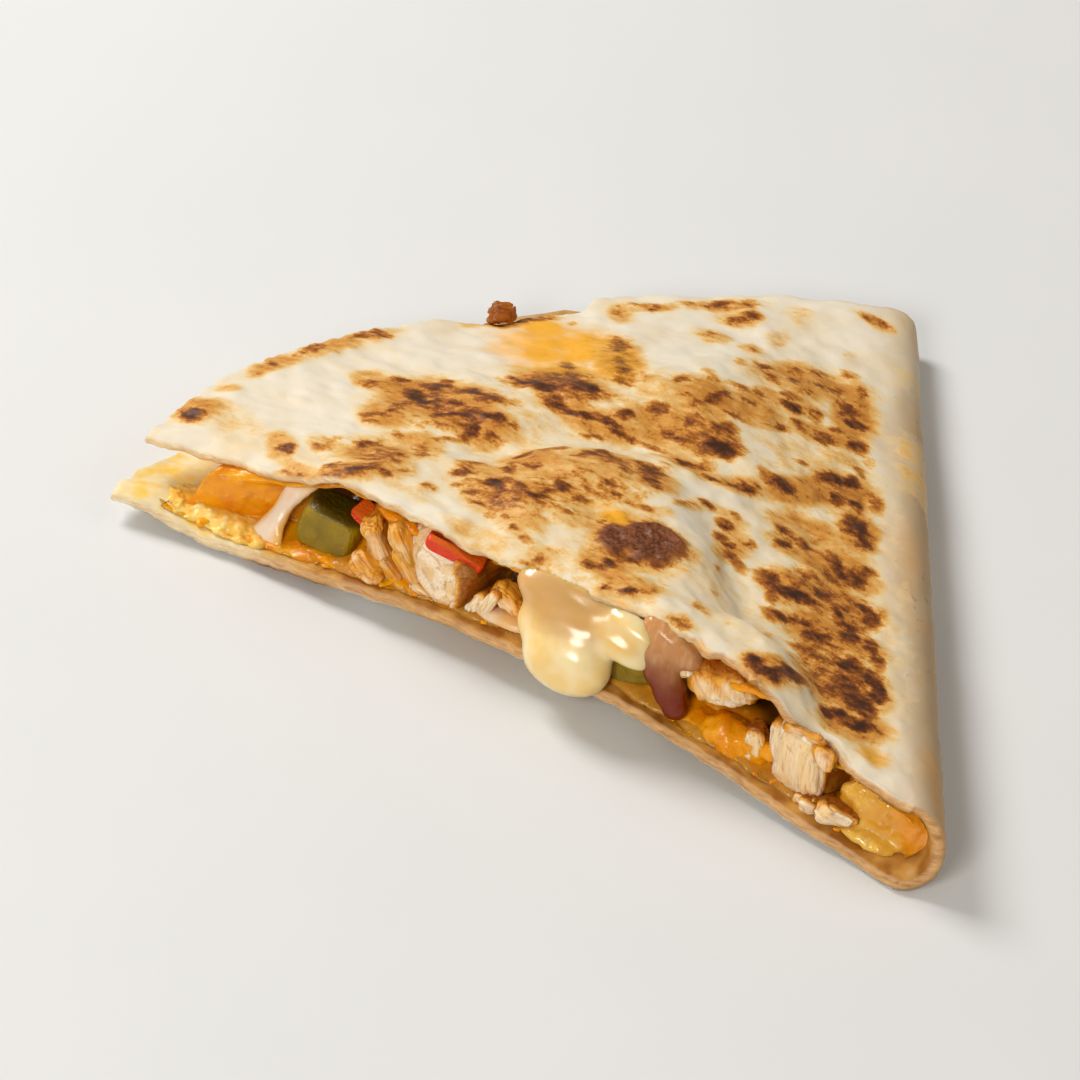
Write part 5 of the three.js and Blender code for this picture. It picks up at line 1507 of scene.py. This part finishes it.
# fried outside; its darkest browns partly paint the shade on the right sides
brown = tint(tree, spread(tree, blots, 0.35, 0.65), srgb(186, 104, 14), srgb(116, 50, 4))
brown = tint(tree, spread(tree, threads, 0.45, 0.75, 0.0, 0.5), brown, srgb(84, 32, 2))
cut_amount = work(tree, "ADD", stored(tree, "cut_face"), sway(blots, 0.9), True)
flesh = tint(tree, spread(tree, cut_amount, 0.0, 0.4), brown, glazed)
flesh = tint(tree, spread(tree, cut_amount, 0.4, 0.8), flesh, white)
seam = spread(tree, stored(tree, "seam"), 0.3, 1.0, 0.0, 0.5)
tree.links.new(tint(tree, seam, flesh, srgb(172, 96, 24)), shader.inputs["Base Color"])
ruffle(tree, shader, threads, 0.3 * MM, 0.45)
print("chicken finish ready")

# %% [markdown]
# Torn meat is no clean block, so the larger pieces are several lumps: one that gives the size and
# strips or bits beside it, each with its own grain. Most of the small bits are a single lump.

# %% Chicken pieces
COATED = (-3.0, 4.5)
SPICED = (0.1, 1.8)
TORN = (-0.1, 0.9)
# each piece: one or more lumps of meat, with size, grain and the rest, and where they stand
CHICKEN = {
    "chicken_1": [
        (dict(size=(12.6, 13, 9.8), grain=1, seed=3, square=0.75, fibre=1.9, rough=0.6, pale=(0.1, 0.6),
              side=0.65), (76.4, 8.0, 9.2, -8, -16)),
        (dict(size=(2.8, 7, 8.6), grain=2, seed=31, square=0.9, fibre=0.9, pale=COATED),
         (82.6, 5.4, 10.2, 30, 6)),
        (dict(size=(2.4, 5, 6.6), grain=2, seed=32, square=0.8, fibre=0.9, pale=COATED),
         (81.4, 4.0, 8.0, 42, 0)),
        (dict(size=(2.0, 5, 5.4), grain=2, seed=39, square=0.9, fibre=0.8, pale=COATED),
         (83.4, 4.2, 6.0, 46, 0)),
        (dict(size=(5.0, 4, 2.4), grain=0, seed=33, fibre=1.2, rough=0.6, pale=TORN),
         (78.2, 3.0, 5.6, -10, 0)),
        (dict(size=(2.0, 4, 4.4), grain=2, seed=34, fibre=1.1, rough=0.5, pale=TORN),
         (70.4, 2.8, 8.0, -34, 0)),
    ],
    "chicken_2": [
        (dict(size=(11.5, 11, 6.8), grain=2, seed=5, ribs=(1.7, 35, 0.7), fibre=3.2, rough=0.4,
              pale=(0.2, 1.3)), (35.6, 7.2, 12.2, 12, 6)),
        (dict(size=(3.4, 4, 3.0), grain=0, seed=35, fibre=1.2, rough=0.5, pale=TORN),
         (40.6, 3.6, 12.6, 20, 0)),
    ],
    "chicken_3": [
        (dict(size=(8.8, 11.5, 11), grain=2, seed=8, square=0.85, fibre=1.2, ribs=(1.1, 6, 0.2), rough=0.5,
              pale=(0.2, 0.6), side=0.05), (20.8, 7.0, 8.0, 6, -18)),
        (dict(size=(3.4, 3, 2.0), grain=2, seed=40, fibre=0.8, rough=0.9, pale=TORN), (19.4, 2.2, 4.0, 4, 0)),
        (dict(size=(7.0, 4, 2.6), grain=0, seed=41, square=0.7, fibre=1.0, rough=0.8, pale=SPICED),
         (21.6, 3.6, 12.8, 8, -8)),
        (dict(size=(3.6, 4, 4.0), grain=2, seed=42, square=0.8, fibre=1.0, rough=0.6, pale=SPICED),
         (18.2, 3.2, 11.2, 4, 0)),
        (dict(size=(2.4, 5, 7.6), grain=2, seed=36, fibre=1.3, rough=0.5, pale=TORN),
         (25.2, 4.6, 8.6, 14, 0)),
        (dict(size=(3.0, 4, 2.6), grain=0, seed=37, fibre=1.1, rough=0.6, pale=TORN), (18.4, 2.0, 3.8, 0, 0)),
    ],
    "chicken_shred_1": [
        (dict(size=(3.2, 7, 8), grain=2, seed=12, square=0.9, fibre=0.9, rough=1.0, pale=COATED),
         (86.8, 5.8, 8.8, 24, 10)),
    ],
    "chicken_shred_2": [
        (dict(size=(5.2, 5, 2.9), grain=0, seed=13, square=0.8, fibre=0.9, rough=1.0, pale=COATED),
         (86.2, 3, 5.9, -12, -14)),
    ],
    "chicken_bit_1": [
        (dict(size=(5.4, 4.4, 3.2), grain=0, seed=14, fibre=1.5, ribs=(1.5, 50, 0.35), pale=COATED),
         (66.6, 3.4, 9.8, -26, 12)),
        (dict(size=(1.8, 3.6, 5.0), grain=2, seed=38, fibre=1.1, rough=0.5, pale=TORN),
         (68.6, 2.4, 9.2, -24, 0)),
    ],
    "chicken_bit_2": [
        (dict(size=(3.2, 3.4, 5.4), grain=2, seed=15, fibre=1.0, rough=1.0, pale=TORN),
         (28.2, 3.4, 7, 12, 0)),
    ],
    "chicken_bit_3": [
        (dict(size=(5.2, 4, 2.8), grain=0, seed=16, fibre=1.2, rough=0.9, pale=TORN),
         (14.4, 2.4, 4.4, -6, 6)),
    ],
}


def gathered(lumps):
    whole = bmesh.new()
    for shape, place in lumps:
        part = chicken(**shape)
        bmesh.ops.transform(part, matrix=stand(*place), verts=part.verts)
        data = bpy.data.meshes.new("part")
        part.to_mesh(data)
        part.free()
        whole.from_mesh(data)
        bpy.data.meshes.remove(data)
    return whole


for name, lumps in CHICKEN.items():
    bm = gathered(lumps)
    settle(bm)
    make_piece(name + "_meat", bm, chicken_finish, [name])

# %% [markdown]
# A crumb of chicken came out over the curled rim at the back.

# %% Crumb on the rim
CRUMB_TURN = 0.493
CRUMB_REACH = 121.0
CRUMB_HEIGHT = 7.7
crumb_bm = chicken((3.8, 3.2, 2.7), grain=0, seed=19, fibre=0.8, rough=1.3, pale=(0.9, 2.4))
crumb_at = (-CRUMB_REACH * math.sin(CRUMB_TURN), CRUMB_REACH * math.cos(CRUMB_TURN), CRUMB_HEIGHT)
bmesh.ops.translate(crumb_bm, vec=crumb_at, verts=crumb_bm.verts)
make_piece("chicken_crumb_meat", crumb_bm, chicken_finish, ["chicken_crumb"])

# %% [markdown]
# ## Peppers
# The peppers are dice cut from a thick wall, a little curved, soft at the corners and shiny with
# steam. Their flesh is not plain: it has paler watery cells. Their top has a colour of its own,
# stored as skin: on the green dice it is darker, painted shade from the top flap, and on the red
# dice more orange.


# %% Peppers
def pepper(size, square, seed):
    bm, units = rounded_box(size, square, 0.4)
    points = points_of(bm.verts)
    hollow = 0.35 * smooth(0.75, 1.0, np.abs(units[:, 1]))
    push_out(bm, 0.3 * ripple(points, 4, seed) + 0.16 * ripple(points, 1.6, seed + 1) - hollow)
    # the top: painted darker as shade on the green dice, more orange on the red ones
    mark(bm, "skin", smooth(0.45, 0.8, units[:, 2]))
    mark_place(bm, "grain", points)
    return bm


def pepper_finish(name, flesh, watery, skin):
    made, tree, shader, _ = finish_of(
        name,
        Roughness=0.36,
        Subsurface_Weight=0.2,
        Subsurface_Radius=(0.8, 0.8, 0.3),
        Subsurface_Scale=1.2 * MM,
        Specular_IOR_Level=0.35,
        Coat_Weight=0.12,
        Coat_Roughness=0.15,
    )
    own = stored(tree, "grain", "Vector")
    cells = grainy(tree, own, 0.5 * MM, 2.0, (1, 1, 1.6))
    cloud = grainy(tree, own, 3 * MM, 1.5)
    mixed = tint(tree, spread(tree, cloud, 0.25, 0.8), flesh, watery)
    mixed = tint(tree, spread(tree, cells, 0.6, 0.75, 0.0, 0.3), mixed, watery)
    # the top's colour: on the green dice a darker painted shade
    mixed = tint(tree, stored(tree, "skin"), mixed, skin)
    tree.links.new(mixed, shader.inputs["Base Color"])
    ruffle(tree, shader, cells, 0.3 * MM, 0.8)
    return made


# the last colour is the top's: on the green dice a darker green that paints shade
green_finish = pepper_finish("green_pepper", srgb(122, 100, 0), srgb(164, 134, 2), srgb(80, 66, 0))
red_finish = pepper_finish("red_pepper", srgb(220, 36, 0), srgb(222, 74, 6), srgb(214, 96, 18))
PEPPERS = {
    "green_pepper_1": ((8.4, 7.6, 6.8), 0.85, 2, (94.2, 6.4, 6.8, -8, 8, -6), green_finish),
    "green_pepper_2": ((7.6, 5.4, 5.6), 0.8, 4, (48.2, 4.4, 8.8, 18, 8, 0), green_finish),
    "red_pepper_1": ((8.4, 5.0, 1.8), 1.2, 9, (75.4, 4.1, 13.7, -15, 14, 12), red_finish),
    "red_pepper_2": ((4.2, 3.4, 1.5), 1.2, 11, (89.2, 5.6, 11.0, -14, -10, 14), red_finish),
}
for name, (size, square, seed, place, finish) in PEPPERS.items():
    bm = pepper(size, square, seed)
    bmesh.ops.transform(bm, matrix=stand(*place), verts=bm.verts)
    settle(bm)
    make_piece(name + "_dice", bm, finish, [name])

# %% [markdown]
# ## Onion
# Fried onion is nearly clear. A petal of red onion hooks down beside the drop, pale brown at the
# top and dark red brown at its tip. A slice lies on the bottom flap, and another piece is stretched
# like a web between the two flaps beside the green pepper. All three are lumps that run together,
# so they are melted like the cheese.


# %% Onions
def onion_finish(name, clear, dark):
    made, tree, shader, where = finish_of(
        name,
        Roughness=0.22,
        Subsurface_Weight=0.2,
        Subsurface_Radius=(1.0, 0.5, 0.12),
        Subsurface_Scale=1.6 * MM,
        Specular_IOR_Level=0.2,
        Coat_Weight=0.3,
        Coat_Roughness=0.08,
    )
    streaks = grainy(tree, where, 0.8 * MM, 2.0, (1, 1, 3.5))
    body = tint(tree, spread(tree, streaks, 0.45, 0.8, 0.0, 0.4), clear, srgb(240, 208, 166))
    body = tint(tree, stored(tree, "dark"), body, dark)
    tree.links.new(body, shader.inputs["Base Color"])
    ruffle(tree, shader, streaks, 0.25 * MM, 0.5)
    return made


onion_clear = onion_finish("onion", srgb(246, 226, 204), srgb(236, 178, 74))
onion_red = onion_finish("red_onion", srgb(200, 142, 88), srgb(118, 38, 0))
PETAL = [
    ((10, 4.4, 4.2), (42.8, 3.0, 15.4), (-24, 0), 0.2),
    ((6, 4.2, 5), (44.4, 2.0, 13.4), (-50, 0), 0.2),
    ((5.4, 3.8, 5.4), (43.0, 1.8, 11.2), (-60, 0), 0.2),
    ((5.2, 3.6, 4.8), (41.4, 1.7, 9.0), (-64, 0), 0.2),
    ((4.2, 3.4, 3.8), (40.2, 1.7, 7.2), (-60, 0), 0.2),
]
petal_bm = melt(PETAL, 0.3, 10)
points = points_of(petal_bm.verts)
mark(petal_bm, "dark", 1 - smooth(9.0, 16.5, points[:, 2] + 1.2 * ripple(points, 2.5, 71)))
make_piece("red_onion_petal", petal_bm, onion_red, ["red_onion_1"])

slice_bm = melt([((9.6, 5.4, 1.9), (66.6, 3.2, 7.2), (2, 0), 0.4)], 0.3, 3)
points = points_of(slice_bm.verts)
push_out(slice_bm, 0.15 * ripple(points, 1.8, 73))
mark(slice_bm, "dark", 0.5 + 0.5 * ripple(points, 3, 74))
make_piece("onion_slice", slice_bm, onion_clear, ["onion_1"])


# along, depth, height: where the web stands on the bottom flap, and where it meets the top one
WEB_FOOT = (102.6, 2.6, 2.2)
WEB_HEAD = (99.6, 8.0, 11.6)
WEB_LUMPS = 13
WEB_WAIST = 3.2
WEB_SPREAD = 17.0


def web_width(level):
    return WEB_WAIST + WEB_SPREAD * np.abs(level - 0.5) ** 1.7


def web():
    """The stretched piece: broad on the bottom flap, narrow in the middle, spread again on top."""
    lumps = []
    for k in range(WEB_LUMPS):
        level = k / (WEB_LUMPS - 1)
        place = tuple(mix(foot, head, level) for foot, head in zip(WEB_FOOT, WEB_HEAD))
        lumps.append(((web_width(level), 1.6, 1.7), place, (20, 0), 0.2))
    return lumps


web_bm = melt_in_place(web(), 0.3, 8, [(0.16, 1.1, 75, 0.3)])
points = points_of(web_bm.verts)
along = from_cut(points[:, 0], points[:, 1])[0]
level = np.clip((points[:, 2] - WEB_FOOT[2]) / (WEB_HEAD[2] - WEB_FOOT[2]), 0, 1)
sideways = np.abs(along - mix(WEB_FOOT[0], WEB_HEAD[0], level)) / (web_width(level) / 2)
from_middle = np.abs(level - 0.5)
# the middle of the web stays pale, partly a painted highlight; its edges and ends turn yellow
mark(web_bm, "dark", 0.9 * np.maximum(smooth(0.3, 0.85, sideways), smooth(0.3, 0.5, from_middle)))
make_piece("onion_web", web_bm, onion_clear, ["onion_2"])

# %% [markdown]
# ## The two boxes
# The finished food must not be larger than its solids, so both boxes are gathered here in one
# dictionary.

# %% The two boxes
size = {"cad": [list(corner) for corner in cad_box], "visual": [list(c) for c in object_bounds()]}
